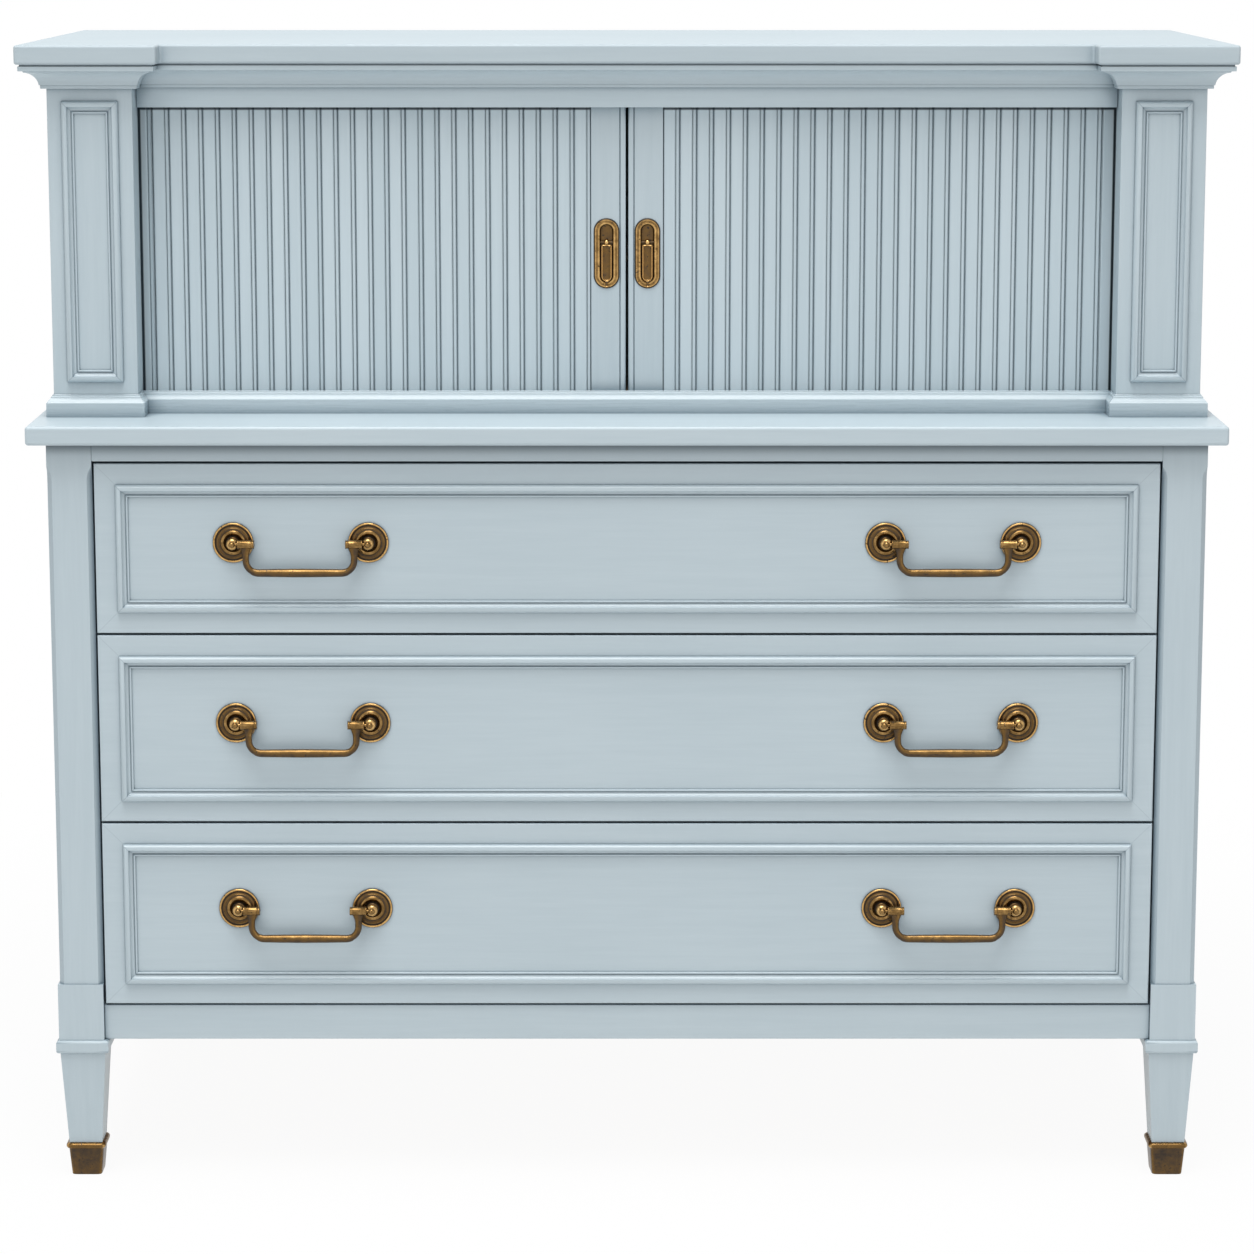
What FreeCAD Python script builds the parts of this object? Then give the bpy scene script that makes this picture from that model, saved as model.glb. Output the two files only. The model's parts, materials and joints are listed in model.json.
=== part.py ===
import FreeCAD, Part
import math
import os

import Sketcher

# A painted tallboy: three drawers on tapered legs, a deck, and a tambour cabinet under a cornice.
# Millimetres. The front faces -Y, +X is to the right, +Z is up and the floor is at zero.

SIZES = [
    # Lower case
    ("case_width", 1086, "over the posts"),
    ("case_depth", 483, "front of the posts to the back"),
    ("post_width", 42, "square posts"),
    ("post_chamfer", 4.5, "stopped chamfer on the front posts"),
    ("chamfer_tongue", 11, "length of the curved stop"),
    ("chamfer_stop", 22, "plain length under the deck"),
    ("block_height", 55, "plain block over the collar"),
    ("block_proud", 1.4, "block past the post"),
    ("collar_height", 13, "collar at the top of the leg"),
    ("collar_proud", 4, "collar past the post"),
    ("collar_round", 3, "rounded collar edges"),
    ("leg_height", 124, "floor to collar"),
    ("leg_top_width", 43, "leg under the collar"),
    ("leg_foot_width", 31.5, "leg above the sabot"),
    # Sabots
    ("sabot_height", 33, "brass cup on each leg"),
    ("sabot_rim_height", 6, "turned-out rim"),
    ("sabot_rim_width", 37, "rim over its faces"),
    ("sabot_top_width", 34, "cup under the rim"),
    ("sabot_foot_width", 29, "cup at the floor"),
    ("sabot_wall", 1.6, "brass thickness at the sides"),
    ("sabot_floor", 3, "brass thickness at the floor"),
    ("sabot_round", 0.8, "rounded rim"),
    # Rails and panels
    ("panel_thick", 14, "lower side panels"),
    ("panel_inset", 5, "side panels behind the post faces"),
    ("groove_depth", 8, "panel grooves in the posts"),
    ("back_thick", 6, "both back panels"),
    ("rebate_width", 10, "back panels in their rebates"),
    ("top_rail_height", 17, "front rail under the deck"),
    ("top_rail_depth", 60, "same rail, front to back"),
    ("bottom_rail_height", 34, "front rail over the legs"),
    ("bottom_rail_thick", 22, "same rail, front to back"),
    ("bottom_rail_inset", 3, "same rail behind the posts"),
    ("rear_rail_height", 40, "rails inside the back"),
    ("rear_rail_thick", 16, "same rails, front to back"),
    ("tenon_length", 20, "rail tenons"),
    ("tenon_shoulder", 4, "rail past its tenon, above and below"),
    ("tenon_thick", 10, "rail tenons"),
    ("divider_thick", 16, "rails between the drawers"),
    ("divider_depth", 60, "same rails, front to back"),
    ("divider_tenon", 8, "housed ends of the same rails"),
    ("runner_width", 18, "ledge under a drawer side"),
    ("guide_height", 30, "guide beside a drawer side"),
    ("bottom_thick", 6, "dust bottom"),
    ("bottom_lift", 6, "dust bottom above the edge of its rails"),
    ("bottom_tongue", 6, "dust bottom in its grooves"),
    ("edge_round", 1.5, "softened edges of painted boards"),
    # Deck
    ("deck_overhang", 17, "deck past the posts"),
    ("deck_thick", 18, "deck board"),
    ("deck_round", 3, "rounded deck edges"),
    # Drawers
    ("top_drawer_height", 161.5, "drawer front"),
    ("middle_drawer_height", 180, "drawer front"),
    ("bottom_drawer_height", 177, "drawer front"),
    ("drawer_gap", 2, "reveal round each drawer front"),
    ("front_thick", 20, "drawer fronts"),
    ("drawer_play", 1, "drawer boxes short of the rear posts"),
    ("side_thick", 12, "drawer sides and backs"),
    ("side_clearance", 1, "drawer side to its guide"),
    ("guide_inset", 3, "guides past the post faces"),
    ("run_clearance", 0.3, "drawer side over its runner"),
    ("head_clearance", 3, "drawer side under the rail above"),
    ("drawer_bottom_thick", 5, "drawer bottoms"),
    ("drawer_bottom_lift", 10, "drawer bottom above the edge of the sides"),
    ("drawer_bottom_tongue", 5, "drawer bottom in its grooves"),
    # Applied mouldings
    ("frame_margin", 20, "drawer moulding from the edge of the front"),
    ("frame_width", 11.5, "applied mouldings"),
    ("frame_height", 5, "applied mouldings"),
    ("panel_frame_inset", 13.5, "pilaster moulding from the pilaster's edges"),
    ("panel_frame_margin", 11.75, "pilaster moulding from the base and the cornice"),
    # Drawer pulls
    ("pull_inset", 193, "end of a drawer front to the middle of its pull"),
    ("pull_centres", 127, "post to post"),
    ("pull_lift", 6, "posts above the middle of the front"),
    ("rosette_radius", 19, "rosettes"),
    ("rosette_plate", 1.6, "thickness of the dished plate"),
    ("rosette_step", 1.2, "inner bead above the plate"),
    ("stud_radius", 2.5, "threaded stud of a pull post"),
    ("stud_length", 28, "stud from the face of the front"),
    ("stud_clearance", 0.2, "stud in its holes"),
    ("nut_radius", 5, "round nut"),
    ("nut_thick", 4, "round nut"),
    ("knob_radius", 4.6, "pull post where the bail turns"),
    ("neck_radius", 3.4, "pull post behind the knob"),
    ("collet_radius", 5.4, "pull post against the rosette"),
    ("pivot_reach", 12, "bail axis past the front"),
    ("pin_radius", 1.5, "bail pins"),
    ("pin_clearance", 0.06, "bail pins in their holes"),
    ("pin_depth", 3, "bail pins past the post's middle"),
    ("barrel_radius", 4, "barrels of a bail"),
    ("barrel_length", 15.4, "barrels of a bail"),
    ("barrel_gap", 0.5, "barrel beside its post"),
    ("arm_radius", 3.1, "arms of a bail"),
    ("grip_radius", 4.1, "middle of a bail's grip"),
    ("bail_drop", 27, "bail axis to the middle of the grip"),
    ("bail_bend", 12, "bends of a bail"),
    # Upper cabinet
    ("upper_setback", 74, "pilaster fronts behind the deck's front"),
    ("base_height", 21, "base moulding"),
    ("base_face", 14, "flat part of the base moulding"),
    ("base_proud", 6.5, "base moulding past the pilasters"),
    ("base_lip", 1.2, "top of the base moulding past the pilasters"),
    ("pilaster_height", 288, "base moulding to cornice"),
    ("pilaster_width", 80, "pilaster fronts"),
    ("pilaster_depth", 38, "pilasters, front to back"),
    ("centre_break", 28, "frieze behind the pilaster fronts"),
    ("frieze_height", 19, "frieze under the cornice"),
    ("frieze_thick", 12, "frieze rail"),
    ("bed_height", 23, "cornice bed moulding"),
    ("bed_proud", 23, "bed moulding at its top"),
    ("bed_top", 4.5, "upper fillet of the bed moulding"),
    ("bed_foot", 2.5, "lower fillet of the bed moulding"),
    ("bed_step", 4, "lower fillet past the pilasters"),
    ("slab_thick", 18, "top board"),
    ("slab_overhang", 26, "top board past the pilasters"),
    ("slab_round", 2.5, "rounded edges of the top board"),
    ("upper_side_thick", 18, "cabinet sides"),
    ("board_thick", 18, "cabinet floor and ceiling"),
    ("ceiling_lift", 2, "ceiling above the edge of the frieze"),
    ("liner_thick", 8, "boards inside the slat tracks"),
    ("liner_gap", 5, "liner to the curtain"),
    ("shelf_thick", 16, "shelf"),
    ("shelf_level", 118, "shelf above the cabinet floor"),
    ("shelf_setback", 80, "shelf behind the tambour"),
    ("shelf_play", 1, "shelf to its liners and back"),
    ("shelf_pin_radius", 2.5, "shelf pins"),
    ("shelf_pin_reach", 9, "shelf pins past the liner"),
    ("shelf_pin_depth", 6, "shelf pins in the liner"),
    ("shelf_pin_inset", 40, "shelf pins from the ends of the liner"),
    # Tambour doors
    ("slat_pitch", 16, "slat to slat"),
    ("slat_lip", 3, "recessed strip of each slat"),
    ("slat_thick", 6, "slats"),
    ("slat_lip_thick", 4.4, "slats at the recessed strip"),
    ("slat_bevel", 0.7, "softened slat edges"),
    ("slat_joint", 0.3, "joint between slats"),
    ("canvas_gap", 0.35, "canvas behind the slats"),
    ("canvas_thick", 0.8, "canvas"),
    ("track_radius", 75, "bend of the track at the slat faces"),
    ("track_depth", 10, "grooves in floor and ceiling"),
    ("track_clearance", 0.6, "slats in their grooves"),
    ("track_end", 8, "end of the groove from the back panel"),
    ("track_inset", 4.5, "slat faces from the cabinet sides"),
    ("slat_end_play", 1, "slat ends in their grooves"),
    ("frieze_gap", 1, "slat faces behind the frieze rail"),
    ("tail_slats", 2, "slats hidden behind each pilaster, a count"),
    ("meeting_gap", 2.3, "gap between the lead stiles"),
    ("stile_width", 33, "lead stiles"),
    ("stile_thick", 14, "lead stiles"),
    ("stile_play", 1, "lead stiles to the floor and the frieze"),
    ("bead_width", 5, "bead along the meeting edge"),
    ("bead_groove", 1.1, "groove beside that bead"),
    # Flush pulls
    ("cup_width", 24.5, "oval rim"),
    ("cup_height", 67, "oval rim"),
    ("cup_rim", 1.6, "rim past the stile"),
    ("cup_rim_round", 1, "rounded rim"),
    ("slot_width", 13, "recess inside the rim"),
    ("slot_height", 57, "recess inside the rim"),
    ("cup_depth", 9, "cup behind the stile's face"),
    ("cup_wall", 1.6, "brass of the cup"),
    ("cup_clearance", 0.2, "cup in the stile"),
    ("cup_inset", 19.5, "cup from the middle of the doors"),
    ("cup_drop", 4.5, "cup below the middle of the opening"),
    ("drop_width", 9.6, "swinging drop"),
    ("drop_length", 40, "swinging drop"),
    ("drop_thick", 2.6, "swinging drop"),
    ("drop_above", 13, "top of the drop above the cup's middle"),
    ("drop_pivot", 2.6, "drop's pin below its top"),
    ("drop_depth", 2.6, "drop's pin behind the stile's face"),
    ("drop_pin_radius", 1, "drop's pins"),
    ("drop_pin_seat", 1, "drop's pins in the cup's wall"),
    ("drop_pin_clearance", 0.06, "drop's pins in their holes"),
    ("drop_round", 0.6, "softened edges of the drop"),
    # Cuts
    ("joint_fit", 0.1, "tenons and tongues in their holes"),
    ("overrun", 2, "cuts past the face that they start from"),
]

# Shares of a moulding's width and height at the corners of its profile, outer edge first
FRAME_WIDTH_SHARES = {"crown": 0.50, "top": 0.62, "quirk": 0.70}
FRAME_HEIGHT_SHARES = {"step": 0.32, "quirk": 0.62, "inner": 0.18}
FRAME_ROUND_SHARE = 0.58
# Shares of the rosette's radius at the edges of its beads
ROSETTE_SHARES = {"rim": 0.83, "ring_outer": 0.58, "ring_inner": 0.41}
# Shares of the length of a chamfer's curved stop, and of the chamfer's size there
TONGUE_SHARES = [(0.0, 1.0), (0.5, 0.75), (1.0, 0.06)]
# Arc radii as shares of the size that they span; round ends are a hair over a half circle
ROUND_END_SHARE = 1.000001
BEAD_ROUND_SHARE = 0.56
BED_COVE_SHARE = 1.02
BASE_COVE_SHARE = 0.9
# Shares of the base moulding's projection and of its moulded height
BASE_PROUD_SHARES = {"ledge": 0.80, "neck": 0.42}
BASE_NECK_SHARE = 0.74
# Middle of a bend
MIDDLE_SHARE = 0.5
NEAR = 1e-4
LEFT, RIGHT = -1, 1

doc = FreeCAD.newDocument("tallboy")
sheet = doc.addObject("Spreadsheet::Sheet", "sizes")
spots = doc.addObject("App::VarSet", "places")
nodes = []


class Size(float):
    """A length that remembers the formula that gives it."""

    def __new__(cls, value, formula):
        size = super().__new__(cls, value)
        size.formula = formula
        return size

    def __neg__(self):
        return Size(-float(self), f"(-{self.formula})")

    def __add__(self, other):
        return Size(float(self) + float(other), f"({self.formula} + {formula_of(other)})")

    def __radd__(self, other):
        return Size(float(other) + float(self), f"({formula_of(other)} + {self.formula})")

    def __sub__(self, other):
        return Size(float(self) - float(other), f"({self.formula} - {formula_of(other)})")

    def __rsub__(self, other):
        return Size(float(other) - float(self), f"({formula_of(other)} - {self.formula})")

    def __mul__(self, other):
        return Size(float(self) * float(other), f"({self.formula} * {formula_of(other)})")

    def __rmul__(self, other):
        return Size(float(other) * float(self), f"({formula_of(other)} * {self.formula})")

    def __truediv__(self, other):
        return Size(float(self) / float(other), f"({self.formula} / {formula_of(other)})")


class Sheet:
    """The driving sizes, one attribute for each alias of the spreadsheet."""


def formula_of(length):
    return length.formula if isinstance(length, Size) else repr(float(length))


def fill_sheet():
    """Write every driving size to a cell of its own and give the sizes back by name."""
    named = Sheet()
    for row, (alias, value, note) in enumerate(SIZES, 1):
        sheet.set(f"A{row}", note)
        sheet.set(f"B{row}", str(value))
        sheet.setAlias(f"B{row}", alias)
        setattr(named, alias, Size(value, f"sizes.{alias}"))
    return named


def place(name, length):
    """Keep a worked-out length under its own name, bound to its formula."""
    spots.addProperty("App::PropertyFloat", name)
    spots.setExpression(name, length.formula)
    return Size(float(length), f"places.{name}")


def tie(item, **lengths):
    """Bind properties of an object to lengths."""
    for name, length in lengths.items():
        item.setExpression(name, formula_of(length))


def put(item, x, y, z, turn=None):
    """Bind the place of an object to three lengths, after an optional turn."""
    if turn:
        item.Placement = FreeCAD.Placement(FreeCAD.Vector(), turn)
    for axis, length in zip("xyz", (x, y, z)):
        item.setExpression(f".Placement.Base.{axis}", formula_of(length))


def new_body(label, keep=True):
    body = doc.addObject("PartDesign::Body", label)
    body.Label = label
    if keep:
        nodes.append(body)
    return body


def box(body, x, y, z, kind="Additive"):
    """A box between two lengths on each axis, added to the body or cut from it."""
    item = body.newObject(f"PartDesign::{kind}Box", f"{body.Name}_box")
    tie(item, Length=x[1] - x[0], Width=y[1] - y[0], Height=z[1] - z[0])
    put(item, x[0], y[0], z[0])
    return item


def cut_box(body, x, y, z):
    return box(body, x, y, z, "Subtractive")


def rod(body, start, turn, length, radius, kind="Additive"):
    """A cylinder that starts at a point and runs along the turned Z axis."""
    item = body.newObject(f"PartDesign::{kind}Cylinder", f"{body.Name}_rod")
    tie(item, Height=length, Radius=radius)
    put(item, *start, turn)
    return item


def taper(body, centre, bottom, top, bottom_width, top_width, kind="Additive"):
    """A square taper, upright between two levels."""
    item = body.newObject(f"PartDesign::{kind}Wedge", f"{body.Name}_taper")
    low, high = bottom_width / 2, top_width / 2
    tie(item, Xmin=-low, Xmax=low, Zmin=-low, Zmax=low, Ymax=top - bottom)
    tie(item, X2min=-high, X2max=high, Z2min=-high, Z2max=high)
    item.Ymin = 0
    put(item, *centre, bottom, FreeCAD.Rotation(FreeCAD.Vector(1, 0, 0), 90))
    return item


def attach(body, role, lift):
    """An empty sketch on one of the body's own planes, lifted along the plane's normal."""
    item = body.newObject("Sketcher::SketchObject", f"{body.Name}_sketch")
    plane = [flat for flat in body.Origin.OriginFeatures if flat.Role == role][0]
    item.AttachmentSupport = [(plane, "")]
    item.MapMode = "FlatFace"
    if lift is not None:
        item.setExpression(".AttachmentOffset.Base.z", formula_of(lift))
    return item


def hold(item, kind, length, *where):
    """A dimension of a sketch, bound to a length."""
    number = item.addConstraint(Sketcher.Constraint(kind, *where, float(length)))
    item.setExpression(f"Constraints[{number}]", formula_of(length))


def pin_point(item, edge, end, x, y):
    """Hold one end of a sketch edge at a point, or on an axis where a value is zero."""
    for kind, length, axis in (("DistanceX", x, -2), ("DistanceY", y, -1)):
        if isinstance(length, Size):
            hold(item, kind, length, -1, 1, edge, end)
        else:
            item.addConstraint(Sketcher.Constraint("PointOnObject", edge, end, axis))


def arc_between(start, end, radius):
    """The short arc between two points; a positive radius turns left."""
    chord = end - start
    left = FreeCAD.Vector(-chord.y, chord.x, 0).normalize()
    reach = math.sqrt(max(radius**2 - (chord.Length / 2) ** 2, 0))
    centre = (start + end) / 2 + left * math.copysign(reach, radius)
    return Part.Arc(start, centre - left * radius, end)


def outline(body, role, points, closed=True, lift=None):
    """A sketch through points (x, y); (x, y, radius, turn) starts an arc to the next point."""
    item = attach(body, role, lift)
    following = points[1:] + points[:1] if closed else points[1:]
    ends = []
    for start, end in zip(points, following):
        first, last = (FreeCAD.Vector(point[0], point[1], 0) for point in (start, end))
        turn = start[3] if len(start) > 2 else 0
        shape = arc_between(first, last, turn * float(start[2])) if turn else Part.LineSegment(first, last)
        edge = item.addGeometry(shape, False)
        ends.append((edge, (2, 1) if turn < 0 else (1, 2)))
        if turn:
            hold(item, "Radius", start[2], edge)
    for (edge, (head, tail)), (follower, (next_head, next_tail)) in zip(ends, ends[1:] + ends[:closed]):
        item.addConstraint(Sketcher.Constraint("Coincident", edge, tail, follower, next_head))
    for (edge, (head, tail)), point in zip(ends, points):
        pin_point(item, edge, head, point[0], point[1])
    if not closed:
        edge, (head, tail) = ends[-1]
        pin_point(item, edge, tail, points[-1][0], points[-1][1])
    return item


def ring(body, role, x, y, radius, lift=None):
    """A sketch of one circle."""
    item = attach(body, role, lift)
    centre = FreeCAD.Vector(x, y, 0)
    item.addGeometry(Part.Circle(centre, FreeCAD.Vector(0, 0, 1), float(radius)), False)
    hold(item, "Radius", radius, 0)
    pin_point(item, 0, 3, x, y)
    return item


def raise_outline(body, profile, length, kind="Pad", backwards=False):
    """Pad or pocket a sketch by a length."""
    item = body.newObject(f"PartDesign::{kind}", f"{body.Name}_{kind.lower()}")
    item.Profile = profile
    item.Reversed = backwards
    tie(item, Length=length)
    return item


def run_profile(body, profile, route):
    """Carry a profile along a route with mitred corners."""
    item = body.newObject("PartDesign::AdditivePipe", f"{body.Name}_run")
    item.Profile = profile
    item.Spine = route
    item.Transition = "Right corner"
    return item


def loft(body, profiles, kind="Additive", ruled=False):
    item = body.newObject(f"PartDesign::{kind}Loft", f"{body.Name}_loft")
    item.Profile = profiles[0]
    item.Sections = profiles[1:]
    item.Ruled = ruled
    return item


def turn_on_lathe(body, points):
    """Turn a half profile of points (y, radius) about the Y axis."""
    profile = outline(body, "YZ_Plane", points)
    item = body.newObject("PartDesign::Revolution", f"{body.Name}_turning")
    item.Profile = profile
    item.ReferenceAxis = (profile, ["H_Axis"])
    item.Angle = 360
    return item


def lies(edge, **levels):
    """Whether an edge lies in the planes that are given by axis and level."""
    limits = edge.BoundBox
    ranges = {
        "x": (limits.XMin, limits.XMax),
        "y": (limits.YMin, limits.YMax),
        "z": (limits.ZMin, limits.ZMax),
    }
    return all(abs(end - level) < NEAR for axis, level in levels.items() for end in ranges[axis])


def soften(body, radius, chosen=None):
    """Round the chosen edges of a body, or all of them."""
    doc.recompute()
    base = body.Tip
    edges = [f"Edge{i}" for i, edge in enumerate(base.Shape.Edges, 1) if chosen is None or chosen(edge)]
    item = body.newObject("PartDesign::Fillet", f"{body.Name}_round")
    item.Base = (base, edges)
    tie(item, Radius=radius)
    return item


def mirror(label, source, keep=True):
    """The same piece on the left side."""
    item = doc.addObject("Part::Mirroring", label)
    item.Label = label
    item.Source = source
    item.Normal = FreeCAD.Vector(1, 0, 0)
    if keep:
        nodes.append(item)
    return item


def copy_to(source, x, y, z, turn=None):
    """A further copy of a piece at another place."""
    item = doc.addObject("App::Link", f"{source.Name}_copy")
    item.LinkedObject = source
    put(item, x, y, z, turn)
    return item


def group(label, pieces):
    """One node that holds several separate solids."""
    item = doc.addObject("Part::Compound", label)
    item.Label = label
    item.Links = pieces
    nodes.append(item)
    return item


def shape_node(label, shapes):
    """One node from solids that are worked out here."""
    item = doc.addObject("Part::Feature", label)
    item.Label = label
    item.Shape = Part.makeCompound(shapes)
    nodes.append(item)
    return item


def about(middle, width):
    return (middle - width / 2, middle + width / 2)


def inward(face, direction, near, far):
    """A range behind a face: direction 1 runs towards +, -1 towards -."""
    return (face + near, face + far) if direction > 0 else (face - far, face - near)


def frame_points(width, height, base, outer, out):
    """Half of a picture-frame profile, outer edge first.

    base is where the moulding meets the board, outer its outer edge, and out the sign of the way
    that it stands proud.
    """
    across = {name: outer + share * width for name, share in FRAME_WIDTH_SHARES.items()}
    up = {name: base + out * share * height for name, share in FRAME_HEIGHT_SHARES.items()}
    crown = base + out * height
    bend = FRAME_ROUND_SHARE * width
    return [
        (base, outer),
        (up["step"], outer, bend, out),
        (crown, across["crown"]),
        (crown, across["top"]),
        (up["quirk"], across["quirk"], bend, -out),
        (up["inner"], outer + width),
        (base, outer + width),
    ]


S = fill_sheet()

# Levels from the floor up, and planes from the front back
collar_top = place("collar_top", S.leg_height + S.collar_height)
rail_top = place("rail_top", collar_top + S.bottom_rail_height)
drawer_lows, drawer_highs = {}, {}
level = rail_top
for drawer in ("bottom", "middle", "top"):
    drawer_lows[drawer] = place(f"{drawer}_drawer_low", level + S.drawer_gap)
    level = place(f"{drawer}_drawer_high", drawer_lows[drawer] + getattr(S, f"{drawer}_drawer_height"))
    drawer_highs[drawer] = level
deck_bottom = place("deck_bottom", level + S.drawer_gap + S.top_rail_height)
deck_top = place("deck_top", deck_bottom + S.deck_thick)
base_top = place("base_top", deck_top + S.base_height)
bed_bottom = place("bed_bottom", base_top + S.pilaster_height)
slab_bottom = place("slab_bottom", bed_bottom + S.bed_height)
frieze_bottom = place("frieze_bottom", bed_bottom - S.frieze_height)
floor_top = place("floor_top", deck_top + S.board_thick)
ceiling_bottom = place("ceiling_bottom", frieze_bottom + S.ceiling_lift)
slat_low = place("slat_low", floor_top - S.track_depth + S.slat_end_play)
slat_high = place("slat_high", ceiling_bottom + S.track_depth - S.slat_end_play)

case_back = place("case_back", (S.case_depth + S.deck_overhang) / 2)
deck_front = place("deck_front", -case_back)
case_front = place("case_front", deck_front + S.deck_overhang)
case_half = place("case_half", S.case_width / 2)
opening_half = place("opening_half", case_half - S.post_width)
guide_face = place("guide_face", opening_half - S.guide_inset)
box_half = place("box_half", guide_face - S.side_clearance)
front_back = place("front_back", case_front + S.front_thick)
divider_back = place("divider_back", front_back + S.drawer_gap / 2 + S.divider_depth)
pilaster_front = place("pilaster_front", deck_front + S.upper_setback)
pilaster_inner = place("pilaster_inner", case_half - S.pilaster_width)
centre_front = place("centre_front", pilaster_front + S.centre_break)
slat_front = place("slat_front", centre_front + S.frieze_thick + S.frieze_gap)
upper_inner = place("upper_inner", case_half - S.upper_side_thick)
back_face = place("back_face", case_back - S.back_thick)
track_outer = place("track_outer", upper_inner - S.track_inset)
bend_start = place("bend_start", track_outer - S.track_radius)
bend_end = place("bend_end", slat_front + S.track_radius)
liner_outer = place("liner_outer", track_outer - S.slat_thick - S.canvas_gap - S.canvas_thick - S.liner_gap)
panel_outer = place("panel_outer", case_half - S.panel_inset)
panel_inner = place("panel_inner", panel_outer - S.panel_thick)
cup_level = place("cup_level", (base_top + frieze_bottom) / 2 - S.cup_drop)
dividers = {
    "bottom": place("lower_divider", (drawer_highs["bottom"] + drawer_lows["middle"]) / 2),
    "middle": place("upper_divider", (drawer_highs["middle"] + drawer_lows["top"]) / 2),
}
box_lows = {
    "bottom": place("bottom_box_low", drawer_lows["bottom"] + S.run_clearance),
    "middle": place("middle_box_low", dividers["bottom"] + S.divider_thick / 2 + S.run_clearance),
    "top": place("top_box_low", dividers["middle"] + S.divider_thick / 2 + S.run_clearance),
}
box_highs = {
    "bottom": place("bottom_box_high", dividers["bottom"] - S.divider_thick / 2 - S.head_clearance),
    "middle": place("middle_box_high", dividers["middle"] - S.divider_thick / 2 - S.head_clearance),
    "top": place("top_box_high", drawer_highs["top"] - S.head_clearance),
}
leg_middle = place("leg_middle", case_half - S.post_width / 2)
TO_FRONT = FreeCAD.Rotation(FreeCAD.Vector(1, 0, 0), 90)
TO_RIGHT = FreeCAD.Rotation(FreeCAD.Vector(0, 1, 0), 90)
TO_LEFT = FreeCAD.Rotation(FreeCAD.Vector(0, 1, 0), -90)


def rail_tenon(front, height_range, grow=0):
    """Ranges of a rail's tenon on the right, or of its mortise where grow is the clearance."""
    middle = (height_range[0] + height_range[1]) / 2
    tall = height_range[1] - height_range[0] - 2 * S.tenon_shoulder
    return (
        (opening_half - S.overrun * (1 if grow else 0), opening_half + S.tenon_length + grow),
        (front + S.tenon_shoulder - grow, front + S.tenon_shoulder + S.tenon_thick + grow),
        (middle - tall / 2 - grow, middle + tall / 2 + grow),
    )


top_rail_levels = (deck_bottom - S.top_rail_height, deck_bottom)
bottom_rail_levels = (collar_top, rail_top)
bottom_rail_front = place("bottom_rail_front", case_front + S.bottom_rail_inset)


def divider_ranges(middle, reach):
    """Ranges of the rail between two drawers, out to a length on both sides."""
    return ((-reach, reach), (front_back + S.drawer_gap / 2, divider_back), about(middle, S.divider_thick))


def stop_chamfer(body, corner_x, towards):
    """Cut a chamfer with a curved stop along one front edge of a post."""
    tongue = deck_bottom - S.chamfer_stop - S.chamfer_tongue
    stations = [(collar_top + S.block_height, 1)]
    stations += [(tongue + S.chamfer_tongue * along, share) for along, share in TONGUE_SHARES]
    sections = []
    for rise, share in stations:
        leg = S.post_chamfer * share
        past = S.overrun * share
        corner = [
            (corner_x - towards * past, case_front - past),
            (corner_x + towards * leg, case_front - past),
            (corner_x + towards * leg, case_front),
            (corner_x, case_front + leg),
            (corner_x - towards * past, case_front + leg),
        ]
        sections.append(outline(body, "XY_Plane", corner, lift=rise))
    loft(body, sections, "Subtractive", ruled=True)


def post(label, face, direction):
    """A right-hand post: collar, shaft, block, tapered leg and the toe that fills its sabot."""
    body = new_body(label)
    middle = face + direction * S.post_width / 2
    collar_width = S.post_width + 2 * S.collar_proud
    box(body, about(leg_middle, collar_width), about(middle, collar_width), (S.leg_height, collar_top))
    soften(body, S.collar_round, lambda edge: lies(edge, z=S.leg_height) or lies(edge, z=collar_top))
    box(body, (opening_half, case_half), inward(face, direction, 0, S.post_width), (collar_top, deck_bottom))
    box(body, (opening_half, case_half + S.block_proud),
        inward(face, direction, -S.block_proud, S.post_width), (collar_top, collar_top + S.block_height))
    brass = 2 * (S.sabot_wall + S.joint_fit)
    taper(body, (leg_middle, middle), S.sabot_height, S.leg_height, S.leg_foot_width, S.leg_top_width)
    taper(body, (leg_middle, middle), S.sabot_floor, S.sabot_height,
          S.sabot_foot_width - brass, S.sabot_top_width - brass)
    cut_box(body, (panel_inner - S.joint_fit, panel_outer + S.joint_fit),
            inward(face, direction, S.post_width - S.groove_depth, S.post_width + S.overrun),
            (collar_top, deck_bottom + S.overrun))
    return body


def front_posts():
    body = post("post_front_right", case_front, RIGHT)
    cut_box(body, *rail_tenon(case_front, top_rail_levels, S.joint_fit))
    cut_box(body, *rail_tenon(bottom_rail_front, bottom_rail_levels, S.joint_fit))
    for middle in dividers.values():
        across, deep, tall = divider_ranges(middle, opening_half)
        cut_box(body, (opening_half - S.overrun, opening_half + S.divider_tenon + S.joint_fit), deep,
                (tall[0] - S.joint_fit, tall[1] + S.joint_fit))
    stop_chamfer(body, case_half, LEFT)
    stop_chamfer(body, opening_half, RIGHT)
    mirror("post_front_left", body)


def rear_posts():
    body = post("post_rear_right", case_back, LEFT)
    cut_box(body, (opening_half - S.overrun, opening_half + S.rebate_width),
            (back_face, case_back + S.overrun + S.block_proud), (collar_top, deck_bottom + S.overrun))
    mirror("post_rear_left", body)


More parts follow.
